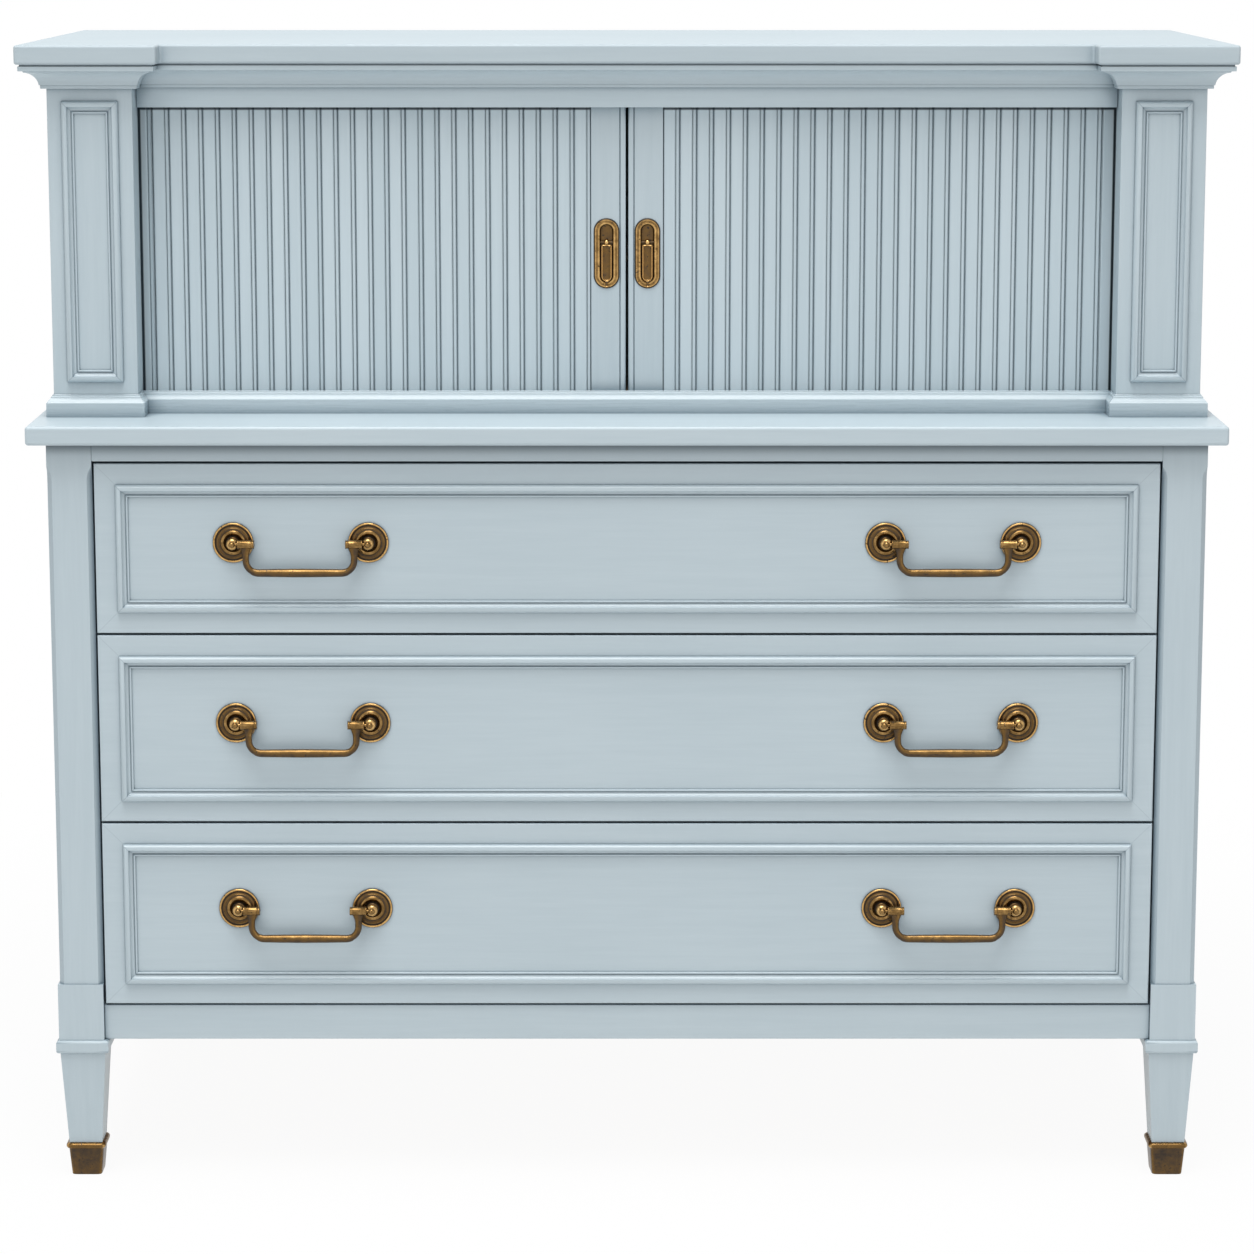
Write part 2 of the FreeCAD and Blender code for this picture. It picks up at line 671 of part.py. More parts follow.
def sabots():
    """Brass cups on the feet: a tapered box with a rim, hollow for the toe."""
    cup = new_body("sabot", keep=False)
    rim_bottom = S.sabot_height - S.sabot_rim_height
    box(cup, about(0, S.sabot_rim_width), about(0, S.sabot_rim_width), (rim_bottom, S.sabot_height))
    soften(cup, S.sabot_round, lambda edge: lies(edge, z=rim_bottom) or lies(edge, z=S.sabot_height))
    taper(cup, (0, 0), 0, rim_bottom, S.sabot_foot_width, S.sabot_top_width)
    taper(cup, (0, 0), S.sabot_floor, S.sabot_height, S.sabot_foot_width - 2 * S.sabot_wall,
          S.sabot_top_width - 2 * S.sabot_wall, "Subtractive")
    feet = [(side * leg_middle, face + direction * S.post_width / 2)
            for side in (LEFT, RIGHT) for face, direction in ((case_front, RIGHT), (case_back, LEFT))]
    group("sabots", [copy_to(cup, x, y, 0) for x, y in feet])


def lower_panels():
    """Side panels in the post grooves, the back in its rebates and the dust bottom."""
    side = new_body("lower_side_right")
    reach = S.post_width - S.groove_depth + S.joint_fit
    box(side, (panel_inner, panel_outer), (case_front + reach, case_back - reach), (collar_top, deck_bottom))
    mirror("lower_side_left", side)
    back = new_body("lower_back")
    across = opening_half + S.rebate_width - S.joint_fit
    box(back, (-across, across), (back_face, case_back), (collar_top, deck_bottom))
    bottom = new_body("dust_bottom")
    box(bottom, (-opening_half, opening_half), dust_bottom_depth(0), dust_bottom_levels(0))


def dust_bottom_levels(grow):
    low = collar_top + S.bottom_lift
    return (low - grow, low + S.bottom_thick + grow)


def dust_bottom_depth(grow):
    """The dust bottom front to back, in the grooves of the bottom rail and the rear rail."""
    front = bottom_rail_front + S.bottom_rail_thick - S.bottom_tongue
    back = back_face - S.rear_rail_thick + S.bottom_tongue
    return (front - grow, back + grow)


def front_rails():
    """The rail under the deck and the rail over the legs, both tenoned into the posts."""
    for label, front, thick, levels in (
        ("top_rail", case_front, S.top_rail_depth, top_rail_levels),
        ("bottom_rail", bottom_rail_front, S.bottom_rail_thick, bottom_rail_levels),
    ):
        rail = new_body(label)
        box(rail, (-opening_half, opening_half), (front, front + thick), levels)
        across, deep, tall = rail_tenon(front, levels)
        box(rail, (-across[1], across[1]), deep, tall)
        if label == "bottom_rail":
            cut_box(rail, (-opening_half, opening_half), dust_bottom_depth(S.joint_fit),
                    dust_bottom_levels(S.joint_fit))


def rear_rails():
    """Two rails inside the back; the lower one holds the dust bottom."""
    rails = []
    for low, grooved in ((collar_top, True), (deck_bottom - S.rear_rail_height, False)):
        rail = new_body("rear_rail", keep=False)
        box(rail, (-opening_half, opening_half), (back_face - S.rear_rail_thick, back_face),
            (low, low + S.rear_rail_height))
        if grooved:
            cut_box(rail, (-opening_half, opening_half), dust_bottom_depth(S.joint_fit),
                    dust_bottom_levels(S.joint_fit))
        rails.append(rail)
    group("rear_rails", rails)


def drawer_supports():
    """Rails between the drawers, runners with side guides, and kickers over the top drawer."""
    rails = []
    for middle in dividers.values():
        rail = new_body("divider", keep=False)
        across, deep, tall = divider_ranges(middle, opening_half)
        box(rail, (across[0] - S.divider_tenon, across[1] + S.divider_tenon),
            (deep[0], case_front + S.post_width), tall)
        box(rail, across, deep, tall)
        rails.append(rail)
    group("drawer_dividers", rails)
    deep = (divider_back, case_back - S.post_width)
    runners = []
    for low in box_lows.values():
        runner = new_body("runner", keep=False)
        seat = low - S.run_clearance
        box(runner, (guide_face - S.runner_width, guide_face), deep, (seat - S.divider_thick, seat))
        box(runner, (guide_face, panel_inner), deep, (seat - S.divider_thick, seat + S.guide_height))
        runners += [runner, mirror("runner_left", runner, keep=False)]
    group("drawer_runners", runners)
    kicker = new_body("kicker", keep=False)
    box(kicker, (guide_face - S.runner_width, panel_inner),
        (case_front + S.top_rail_depth, case_back - S.post_width), (drawer_highs["top"], deck_bottom))
    group("drawer_kickers", [kicker, mirror("kicker_left", kicker, keep=False)])


def deck():
    body = new_body("deck")
    half = case_half + S.deck_overhang
    box(body, (-half, half), (deck_front, case_back), (deck_bottom, deck_top))
    soften(body, S.deck_round)


def applied_frame(label, x, face, low, high, half_width, keep=True):
    """A mitred moulding round a panel, started in the middle of its lower edge."""
    body = new_body(label, keep)
    left, right = x - half_width, x + half_width
    corners = [(x, low), (right, low), (right, high), (left, high), (left, low)]
    route = outline(body, "XZ_Plane", corners, lift=-face)
    section = frame_points(S.frame_width, S.frame_height, face, low, -1)
    run_profile(body, outline(body, "YZ_Plane", section, lift=x), route)
    return body


def pull_places(drawer):
    """The level of a drawer's pull posts and the middles of its two pulls."""
    middle = (drawer_lows[drawer] + drawer_highs[drawer]) / 2
    across = opening_half - S.drawer_gap - S.pull_inset
    return middle + S.pull_lift, {"left": -across, "right": across}


def drawer_parts(drawer):
    """Front, applied moulding, sides and back, and bottom of one drawer."""
    low, high = drawer_lows[drawer], drawer_highs[drawer]
    half = opening_half - S.drawer_gap
    front = new_body(f"{drawer}_drawer_front")
    box(front, (-half, half), (case_front, front_back), (low, high))
    soften(front, S.edge_round, lambda edge: lies(edge, y=case_front))
    level, middles = pull_places(drawer)
    for x in middles.values():
        for side in (LEFT, RIGHT):
            rod(front, (x + side * S.pull_centres / 2, front_back + S.overrun, level), TO_FRONT,
                S.front_thick + 2 * S.overrun, S.stud_radius + S.stud_clearance, "Subtractive")
    applied_frame(f"{drawer}_drawer_moulding", 0, case_front, low + S.frame_margin, high - S.frame_margin,
                  half - S.frame_margin)
    box_low, box_high = box_lows[drawer], box_highs[drawer]
    inner = box_half - S.side_thick
    deep = (front_back, case_back - S.post_width - S.drawer_play)
    shelf = (box_low + S.drawer_bottom_lift, box_low + S.drawer_bottom_lift + S.drawer_bottom_thick)
    side = new_body(f"{drawer}_drawer_side", keep=False)
    box(side, (inner, box_half), deep, (box_low, box_high))
    cut_box(side, (inner - S.overrun, inner + S.drawer_bottom_tongue),
            (deep[0] - S.overrun, deep[1] + S.overrun), (shelf[0] - S.joint_fit, shelf[1] + S.joint_fit))
    back = new_body(f"{drawer}_drawer_back", keep=False)
    box(back, (-inner, inner), (deep[1] - S.side_thick, deep[1]), (shelf[1], box_high))
    group(f"{drawer}_drawer_box", [side, mirror(f"{drawer}_drawer_side_left", side, keep=False), back])
    bottom = new_body(f"{drawer}_drawer_bottom")
    across = inner + S.drawer_bottom_tongue - S.joint_fit
    box(bottom, (-across, across), deep, shelf)


def rosette():
    """A turned brass plate with an outer bead, a dish and an inner bead, its back at zero."""
    body = new_body("rosette", keep=False)
    hole = S.stud_radius + S.stud_clearance
    rim, outer, inner = (S.rosette_radius * share for share in ROSETTE_SHARES.values())
    face = -S.rosette_plate
    raised = face - S.rosette_step
    turn_on_lathe(body, [
        (0, hole),
        (0, S.rosette_radius),
        (face, S.rosette_radius, (S.rosette_radius - rim) * BEAD_ROUND_SHARE, 1),
        (face, rim),
        (face, outer),
        (raised, outer, (outer - inner) * BEAD_ROUND_SHARE, 1),
        (raised, inner),
        (face, inner),
        (face, hole),
    ])
    return body


def pull_post():
    """A turned post with a threaded stud behind it and a cross hole for the bail's pin."""
    body = new_body("pull_post", keep=False)
    seat = -S.rosette_plate
    collet = seat - S.rosette_step
    neck = -(S.pivot_reach - S.knob_radius)
    turn_on_lathe(body, [
        (S.stud_length, 0),
        (S.stud_length, S.stud_radius),
        (seat, S.stud_radius),
        (seat, S.collet_radius),
        (collet, S.collet_radius),
        (collet, S.neck_radius),
        (neck, S.neck_radius),
        (-S.pivot_reach, S.knob_radius, S.knob_radius, 1),
        (-S.pivot_reach - S.knob_radius, 0),
    ])
    reach = S.knob_radius + S.overrun
    rod(body, (-reach, -S.pivot_reach, 0), TO_RIGHT, 2 * reach, S.pin_radius + S.pin_clearance, "Subtractive")
    return body


def nut():
    body = new_body("pull_nut", keep=False)
    rod(body, (0, S.front_thick + S.nut_thick, 0), TO_FRONT, S.nut_thick, S.nut_radius)
    rod(body, (0, S.front_thick + S.nut_thick + S.overrun, 0), TO_FRONT, S.nut_thick + 2 * S.overrun,
        S.stud_radius + S.stud_clearance, "Subtractive")
    return body


def bail():
    """A swinging handle about the X axis: grip, bent arms, barrels and the pins inside the posts."""
    body = new_body("bail", keep=False)
    post_x = S.pull_centres / 2
    barrel_end = post_x - S.knob_radius - S.barrel_gap
    arm_x = barrel_end - S.barrel_length / 2
    grip_end = arm_x - S.bail_bend
    loft(body, [
        ring(body, "YZ_Plane", 0, -S.bail_drop, radius, lift=lift)
        for lift, radius in ((-grip_end, S.arm_radius), (0, S.grip_radius), (grip_end, S.arm_radius))
    ])
    for side, turn in ((LEFT, TO_LEFT), (RIGHT, TO_RIGHT)):
        arm = outline(body, "XZ_Plane", [
            (side * arm_x, 0),
            (side * arm_x, S.bail_bend - S.bail_drop, S.bail_bend, -side),
            (side * grip_end, -S.bail_drop),
        ], closed=False)
        run_profile(body, ring(body, "XY_Plane", side * arm_x, 0, S.arm_radius), arm)
        rod(body, (side * (barrel_end - S.barrel_length), 0, 0), turn, S.barrel_length, S.barrel_radius)
        rod(body, (side * barrel_end, 0, 0), turn, post_x + S.pin_depth - barrel_end, S.pin_radius)
    return body


def drawer_pulls():
    """Rosettes, posts and nuts of each drawer in one node, and a node for each bail."""
    fittings = [rosette(), pull_post(), nut()]
    handle = bail()
    for drawer in drawer_lows:
        level, middles = pull_places(drawer)
        posts = [x + side * S.pull_centres / 2 for x in middles.values() for side in (LEFT, RIGHT)]
        mounts = [copy_to(piece, x, case_front, level) for x in posts for piece in fittings]
        group(f"{drawer}_drawer_pull_mounts", mounts)
        for side, x in middles.items():
            group(f"{drawer}_drawer_bail_{side}", [copy_to(handle, x, case_front - S.pivot_reach, level)])


def breakfront(half, front, centre, inner, back):
    """Plan of the upper cabinet: two forward ends and a centre that is set back."""
    right = [(inner, centre), (inner, front), (half, front), (half, back)]
    return [(-x, y) for x, y in reversed(right)] + right


def base_moulding():
    body = new_body("base_moulding")
    face = deck_top + S.base_face
    neck = face + (S.base_height - S.base_face) * BASE_NECK_SHARE
    ledge, waist = (S.base_proud * share for share in BASE_PROUD_SHARES.values())
    section = [
        (-case_half, deck_top),
        (-case_half - S.base_proud, deck_top),
        (-case_half - S.base_proud, face),
        (-case_half - ledge, face, (S.base_height - S.base_face) * BASE_COVE_SHARE, -1),
        (-case_half - waist, neck),
        (-case_half - S.base_lip, neck),
        (-case_half - S.base_lip, base_top),
        (-case_half, base_top),
    ]
    route = breakfront(case_half, pilaster_front, centre_front, pilaster_inner, case_back)
    run_profile(body, outline(body, "XZ_Plane", section, lift=-case_back),
                outline(body, "XY_Plane", route, closed=False, lift=deck_top))


def bed_moulding():
    """The cove under the top board."""
    body = new_body("bed_moulding")
    section = [
        (-case_half, bed_bottom),
        (-case_half - S.bed_step, bed_bottom),
        (-case_half - S.bed_step, bed_bottom + S.bed_foot, S.bed_proud * BED_COVE_SHARE, 1),
        (-case_half - S.bed_proud, slab_bottom - S.bed_top),
        (-case_half - S.bed_proud, slab_bottom),
        (-case_half, slab_bottom),
    ]
    route = breakfront(case_half, pilaster_front, centre_front, pilaster_inner, case_back)
    run_profile(body, outline(body, "XZ_Plane", section, lift=-case_back),
                outline(body, "XY_Plane", route, closed=False, lift=bed_bottom))


def top_slab():
    body = new_body("top_slab")
    past = S.slab_overhang
    plan = breakfront(case_half + past, pilaster_front - past, centre_front - past, pilaster_inner - past,
                      case_back)
    raise_outline(body, outline(body, "XY_Plane", plan, lift=slab_bottom), S.slab_thick)
    soften(body, S.slab_round)


def upper_walls():
    """Pilasters, sides, back and frieze rail of the cabinet."""
    levels = (deck_top, slab_bottom)
    pilaster_back = pilaster_front + S.pilaster_depth
    pilaster = new_body("pilaster_right")
    box(pilaster, (pilaster_inner, case_half), (pilaster_front, pilaster_back), levels)
    mirror("pilaster_left", pilaster)
    side = new_body("upper_side_right")
    box(side, (upper_inner, case_half), (pilaster_back, case_back), levels)
    cut_box(side, (upper_inner - S.overrun, upper_inner + S.rebate_width), (back_face, case_back + S.overrun),
            (deck_top - S.overrun, slab_bottom + S.overrun))
    mirror("upper_side_left", side)
    back = new_body("upper_back")
    across = upper_inner + S.rebate_width - S.joint_fit
    box(back, (-across, across), (back_face, case_back), levels)
    frieze = new_body("frieze_rail")
    box(frieze, (-pilaster_inner, pilaster_inner), (centre_front, centre_front + S.frieze_thick),
        (frieze_bottom, slab_bottom))
    panel_middle = pilaster_inner + S.pilaster_width / 2
    low, high = base_top + S.panel_frame_margin, bed_bottom - S.panel_frame_margin
    moulding = applied_frame("pilaster_moulding", panel_middle, pilaster_front, low, high,
                             S.pilaster_width / 2 - S.panel_frame_inset, keep=False)
    group("pilaster_mouldings", [moulding, mirror("pilaster_moulding_left", moulding, keep=False)])


def track_plan():
    """Plan of the groove that guides both doors: across the front, round two bends and along the sides."""
    room = S.track_clearance
    depth = S.slat_thick + S.canvas_gap + S.canvas_thick
    end = back_face - S.track_end
    outer, inner = track_outer + room, track_outer - depth - room
    front, rear = slat_front - room, slat_front + depth + room
    wide, tight = S.track_radius + room, S.track_radius - depth - room
    return [
        (-outer, end), (-outer, bend_end, wide, 1), (-bend_start, front),
        (bend_start, front, wide, 1), (outer, bend_end), (outer, end),
        (inner, end), (inner, bend_end, tight, -1), (bend_start, rear),
        (-bend_start, rear, tight, -1), (-inner, bend_end), (-inner, end),
    ]


def upper_boards():
    """The cabinet's floor and ceiling with the grooves that the slats run in."""
    pilaster_back = pilaster_front + S.pilaster_depth
    for label, front, low, cut_from in (
        ("cabinet_floor", centre_front, deck_top, floor_top),
        ("cabinet_ceiling", centre_front + S.frieze_thick, ceiling_bottom, ceiling_bottom),
    ):
        board = new_body(label)
        levels = (low, low + S.board_thick)
        box(board, (-upper_inner, upper_inner), (max(front, pilaster_back), back_face), levels)
        if front < pilaster_back:
            box(board, (-pilaster_inner, pilaster_inner), (front, pilaster_back), levels)
        plan = outline(board, "XY_Plane", track_plan(), lift=cut_from)
        raise_outline(board, plan, S.track_depth, "Pocket", backwards=label == "cabinet_ceiling")


def cabinet_inside():
    """Boards that keep the slats from the contents, and a shelf on pins."""
    liner_inner = liner_outer - S.liner_thick
    shelf_bottom = floor_top + S.shelf_level
    liner = new_body("liner", keep=False)
    box(liner, (liner_inner, liner_outer), (bend_end, back_face), (floor_top, ceiling_bottom))
    pin_level = shelf_bottom - S.shelf_pin_radius
    pin_places = [bend_end + S.shelf_pin_inset, back_face - S.shelf_pin_inset]
    for y in pin_places:
        rod(liner, (liner_inner - S.overrun, y, pin_level), TO_RIGHT, S.overrun + S.shelf_pin_depth,
            S.shelf_pin_radius + S.joint_fit, "Subtractive")
    group("tambour_liners", [liner, mirror("liner_left", liner, keep=False)])
    shelf = new_body("shelf")
    half = liner_inner - S.shelf_play
    box(shelf, (-half, half), (slat_front + S.shelf_setback, back_face - S.shelf_play),
        (shelf_bottom, shelf_bottom + S.shelf_thick))
    soften(shelf, S.edge_round, lambda edge: lies(edge, y=slat_front + S.shelf_setback))
    pin = new_body("shelf_pin", keep=False)
    rod(pin, (0, 0, 0), TO_RIGHT, S.shelf_pin_depth + S.shelf_pin_reach, S.shelf_pin_radius)
    right = [copy_to(pin, liner_inner - S.shelf_pin_reach, y, pin_level) for y in pin_places]
    left = [copy_to(pin, -liner_inner - S.shelf_pin_depth, y, pin_level) for y in pin_places]
    group("shelf_pins", right + left)


def oval(body, width, height, lift=None, middle=(0, 0)):
    """A sketch of a slot with round ends, upright on the XZ plane."""
    half = width / 2
    straight = (height - width) / 2
    x, z = middle
    bow = half * ROUND_END_SHARE
    return outline(body, "XZ_Plane", [
        (x + half, z - straight), (x + half, z + straight, bow, 1),
        (x - half, z + straight), (x - half, z - straight, bow, 1),
    ], lift=lift)


def lead_stiles():
    """The boards that lead the two doors, with tongues in the track and a pocket for the flush pull."""
    near = S.meeting_gap / 2
    far = near + S.stile_width
    stile = new_body("lead_stile_right")
    box(stile, (near, far), (slat_front, slat_front + S.stile_thick),
        (floor_top + S.stile_play, ceiling_bottom - S.stile_play))
    box(stile, (near, far), (slat_front, slat_front + S.slat_thick), (slat_low, slat_high))
    soften(stile, S.edge_round, lambda edge: lies(edge, x=near, y=slat_front))
    groove = near + S.bead_width
    cut_box(stile, (groove, groove + S.bead_groove), (slat_front - S.overrun, slat_front + S.bead_groove),
            (slat_low - S.overrun, slat_high + S.overrun))
    seat = S.slot_width + 2 * (S.cup_wall + S.cup_clearance)
    tall = S.slot_height + 2 * (S.cup_wall + S.cup_clearance)
    pocket = oval(stile, seat, tall, -slat_front, (S.cup_inset, cup_level))
    raise_outline(stile, pocket, S.cup_depth + S.cup_clearance, "Pocket")
    mirror("lead_stile_left", stile)


def flush_pulls():
    """Oval brass cups let into the lead stiles, and the drops that swing in them."""
    cup = new_body("flush_cup", keep=False)
    raise_outline(cup, oval(cup, S.cup_width, S.cup_height), S.cup_rim)
    soften(cup, S.cup_rim_round, lambda edge: lies(edge, y=-S.cup_rim))
    shell = oval(cup, S.slot_width + 2 * S.cup_wall, S.slot_height + 2 * S.cup_wall)
    raise_outline(cup, shell, S.cup_depth, backwards=True)
    recess = oval(cup, S.slot_width, S.slot_height, S.cup_rim)
    raise_outline(cup, recess, S.cup_rim + S.cup_depth - S.cup_wall, "Pocket")
    pin_level = S.drop_above - S.drop_pivot
    pin_reach = S.slot_width / 2 + S.drop_pin_seat
    rod(cup, (-pin_reach - S.joint_fit, S.drop_depth, pin_level), TO_RIGHT, 2 * (pin_reach + S.joint_fit),
        S.drop_pin_radius + S.drop_pin_clearance, "Subtractive")
    drop = new_body("flush_drop", keep=False)
    tongue = oval(drop, S.drop_width, S.drop_length, -S.drop_depth - S.drop_thick / 2,
                  (0, S.drop_above - S.drop_length / 2))
    raise_outline(drop, tongue, S.drop_thick)
    soften(drop, S.drop_round, lambda edge: lies(edge, y=S.drop_depth - S.drop_thick / 2))
    rod(drop, (-pin_reach, S.drop_depth, pin_level), TO_RIGHT, 2 * pin_reach, S.drop_pin_radius)
    for side, x in (("left", -S.cup_inset), ("right", S.cup_inset)):
        group(f"flush_pull_{side}", [copy_to(cup, x, slat_front, cup_level)])
        group(f"flush_drop_{side}", [copy_to(drop, x, slat_front, cup_level)])


def track_point(run):
    """Where the backs of the slats are, for a run along the track from the lead stile, with the way on."""
    bend = S.track_radius - S.slat_thick
    straight = bend_start - S.meeting_gap / 2 - S.stile_width
    if run <= straight:
        return FreeCAD.Vector(S.meeting_gap / 2 + S.stile_width + run, slat_front + S.slat_thick, 0)
    angle = min((run - straight) / bend, math.pi / 2)
    past = run - straight - angle * bend
    return FreeCAD.Vector(bend_start + bend * math.sin(angle), bend_end - bend * math.cos(angle) + past, 0)


def slat_solid(start, end, lip_at_start):
    """One slat on a chord of the track: a broad face with a recessed strip along one edge."""
    way = (end - start).normalize()
    out = FreeCAD.Vector(way.y, -way.x, 0)
    first, last = S.slat_joint / 2, S.slat_pitch - S.slat_joint / 2
    face_end = last - S.slat_lip
    corners = [
        (first, 0), (last, 0), (last, S.slat_lip_thick), (face_end, S.slat_lip_thick),
        (face_end, S.slat_thick - S.slat_bevel), (face_end - S.slat_bevel, S.slat_thick),
        (first + S.slat_bevel, S.slat_thick), (first, S.slat_thick - S.slat_bevel),
    ]
    if lip_at_start:
        corners = [(S.slat_pitch - along, up) for along, up in corners]
    points = [start + way * float(along) + out * float(up) for along, up in corners]
    foot = Part.Face(Part.makePolygon(points + points[:1]))
    foot.translate(FreeCAD.Vector(0, 0, slat_low))
    return foot.extrude(FreeCAD.Vector(0, 0, slat_high - slat_low))


def canvas_solid(length):
    """The cloth behind the slats, as far as the last one."""
    bend = S.track_radius - S.slat_thick
    straight = bend_start - S.meeting_gap / 2 - S.stile_width
    angle = (length - straight) / bend
    middle = FreeCAD.Vector(bend_start, bend_end, 0)
    near, far = bend - S.canvas_gap, bend - S.canvas_gap - S.canvas_thick

    def on_bend(radius, share):
        turn = angle * share
        return middle + FreeCAD.Vector(math.sin(turn), -math.cos(turn), 0) * float(radius)

    def on_start(radius):
        return FreeCAD.Vector(S.meeting_gap / 2 + S.stile_width, bend_end - radius, 0)

    edges = [
        Part.LineSegment(on_start(near), on_bend(near, 0)).toShape(),
        Part.Arc(on_bend(near, 0), on_bend(near, MIDDLE_SHARE), on_bend(near, 1)).toShape(),
        Part.LineSegment(on_bend(near, 1), on_bend(far, 1)).toShape(),
        Part.Arc(on_bend(far, 1), on_bend(far, MIDDLE_SHARE), on_bend(far, 0)).toShape(),
        Part.LineSegment(on_bend(far, 0), on_start(far)).toShape(),
        Part.LineSegment(on_start(far), on_start(near)).toShape(),
    ]
    sheet_plan = Part.Face(Part.Wire(edges))
    sheet_plan.translate(FreeCAD.Vector(0, 0, slat_low))
    return sheet_plan.extrude(FreeCAD.Vector(0, 0, slat_high - slat_low))


def tambours():
    """The two slat curtains: out from the lead stiles, round the bends and behind the pilasters."""
    bend = S.track_radius - S.slat_thick
    straight = bend_start - S.meeting_gap / 2 - S.stile_width
    seen = straight + bend * math.asin((pilaster_inner - bend_start) / S.track_radius)
    count = math.ceil(seen / S.slat_pitch) + int(S.tail_slats)
    flip = FreeCAD.Matrix(-1, 0, 0, 0, 0, 1, 0, 0, 0, 0, 1, 0, 0, 0, 0, 1)
    for side, name in ((LEFT, "left"), (RIGHT, "right")):
        joints = [track_point(number * S.slat_pitch) for number in range(count + 1)]
        solids = [slat_solid(start, end, side == LEFT) for start, end in zip(joints, joints[1:])]
        solids.append(canvas_solid(count * S.slat_pitch))
        if side == LEFT:
            solids = [solid.transformGeometry(flip) for solid in solids]
        shape_node(f"tambour_{name}", solids)


def build():
    front_posts()
    rear_posts()
    sabots()
    lower_panels()
    front_rails()
    rear_rails()
    drawer_supports()
    deck()
    for drawer in drawer_lows:
        drawer_parts(drawer)
    drawer_pulls()
    upper_walls()
    upper_boards()
    base_moulding()
    bed_moulding()
    top_slab()
    cabinet_inside()
    lead_stiles()
    flush_pulls()
    tambours()
    doc.recompute()


def check():
    """Stop if an object failed or a piece has no valid solid."""
    failed = [item.Label for item in doc.Objects if {"Invalid", "Error"} & set(item.State)]
    empty = [node.Label for node in nodes
             if not node.Shape.Solids or not all(solid.isValid() for solid in node.Shape.Solids)]
    if failed or empty:
        raise RuntimeError(f"failed: {failed}, without a valid solid: {empty}")


def write():
    os.makedirs("parts", exist_ok=True)
    for node in nodes:
        node.Shape.exportStep(os.path.join("parts", f"{node.Label}.step"))
        print(node.Label, len(node.Shape.Solids), round(node.Shape.Volume))


build()
check()
write()
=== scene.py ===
import json
import logging
import math
from dataclasses import dataclass, field
from enum import Enum
from typing import Any, Callable, Sequence

import bmesh
import bpy
import numpy as np
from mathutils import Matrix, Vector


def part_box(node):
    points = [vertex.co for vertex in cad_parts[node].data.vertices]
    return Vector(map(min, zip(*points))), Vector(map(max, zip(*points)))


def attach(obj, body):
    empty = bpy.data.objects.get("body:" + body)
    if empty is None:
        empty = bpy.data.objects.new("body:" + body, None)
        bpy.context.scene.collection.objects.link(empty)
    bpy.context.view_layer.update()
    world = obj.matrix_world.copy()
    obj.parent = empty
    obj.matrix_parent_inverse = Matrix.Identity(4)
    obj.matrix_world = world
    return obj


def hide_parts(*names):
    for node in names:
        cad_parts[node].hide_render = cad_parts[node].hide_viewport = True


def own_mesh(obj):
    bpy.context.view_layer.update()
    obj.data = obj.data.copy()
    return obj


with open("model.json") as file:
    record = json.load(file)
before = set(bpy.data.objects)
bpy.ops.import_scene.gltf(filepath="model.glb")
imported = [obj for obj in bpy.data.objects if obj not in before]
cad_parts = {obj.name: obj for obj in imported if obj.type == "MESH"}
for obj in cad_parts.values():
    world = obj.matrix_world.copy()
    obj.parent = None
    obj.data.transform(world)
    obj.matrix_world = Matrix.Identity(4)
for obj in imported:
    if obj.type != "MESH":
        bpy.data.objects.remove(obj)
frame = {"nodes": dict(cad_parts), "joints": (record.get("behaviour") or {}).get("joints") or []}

# A painted tallboy with brass pulls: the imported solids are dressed, and the mouldings, the brass and
# the slatted doors are built again as finer surfaces. Metres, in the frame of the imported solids: the
# front faces -Y, +X is to the right and +Z is up.

log = logging.getLogger("tallboy")
MM = 0.001
DRAWERS = ("bottom", "middle", "top")
Colour = tuple[float, float, float, float]
Point = tuple[float, float, float]
Span = tuple[float, float]
Noise = tuple[float, float, float]
WHITE: Colour = (1, 1, 1, 1)

# Edges that are bent by more degrees than these stay crisp
CRISP = 32.0
CRISP_BRASS = 40.0
CRISP_RUN = 20.0
CRISP_SLAT = 34.0


class Grain(Enum):
    """The way that the brush marks and the wood's figure run, as a stretch of the pattern's axes."""

    ALONG_X = (0.045, 1.0, 1.0)
    ALONG_Y = (1.0, 0.045, 1.0)
    ALONG_Z = (1.0, 1.0, 0.045)


class Side(Enum):
    """The left or the right half of the tallboy, as the sign of X."""

    LEFT = -1
    RIGHT = 1

    @property
    def word(self) -> str:
        """The side's name as it stands in node names."""
        return self.name.lower()


@dataclass(frozen=True)
class Panel:
    """A rectangle on the front, alike on both halves: its reach in X without sign, and in Z."""

    name: str
    inner: float
    outer: float
    low: float
    high: float

    @classmethod
    def of(cls, node: str, inner: float | None = None) -> "Panel":
        """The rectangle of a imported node, from X inner or else across the middle."""
        low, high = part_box(node)
        return cls(node, -high[0] if inner is None else inner, high[0], low[2], high[2])


# Shader expressions


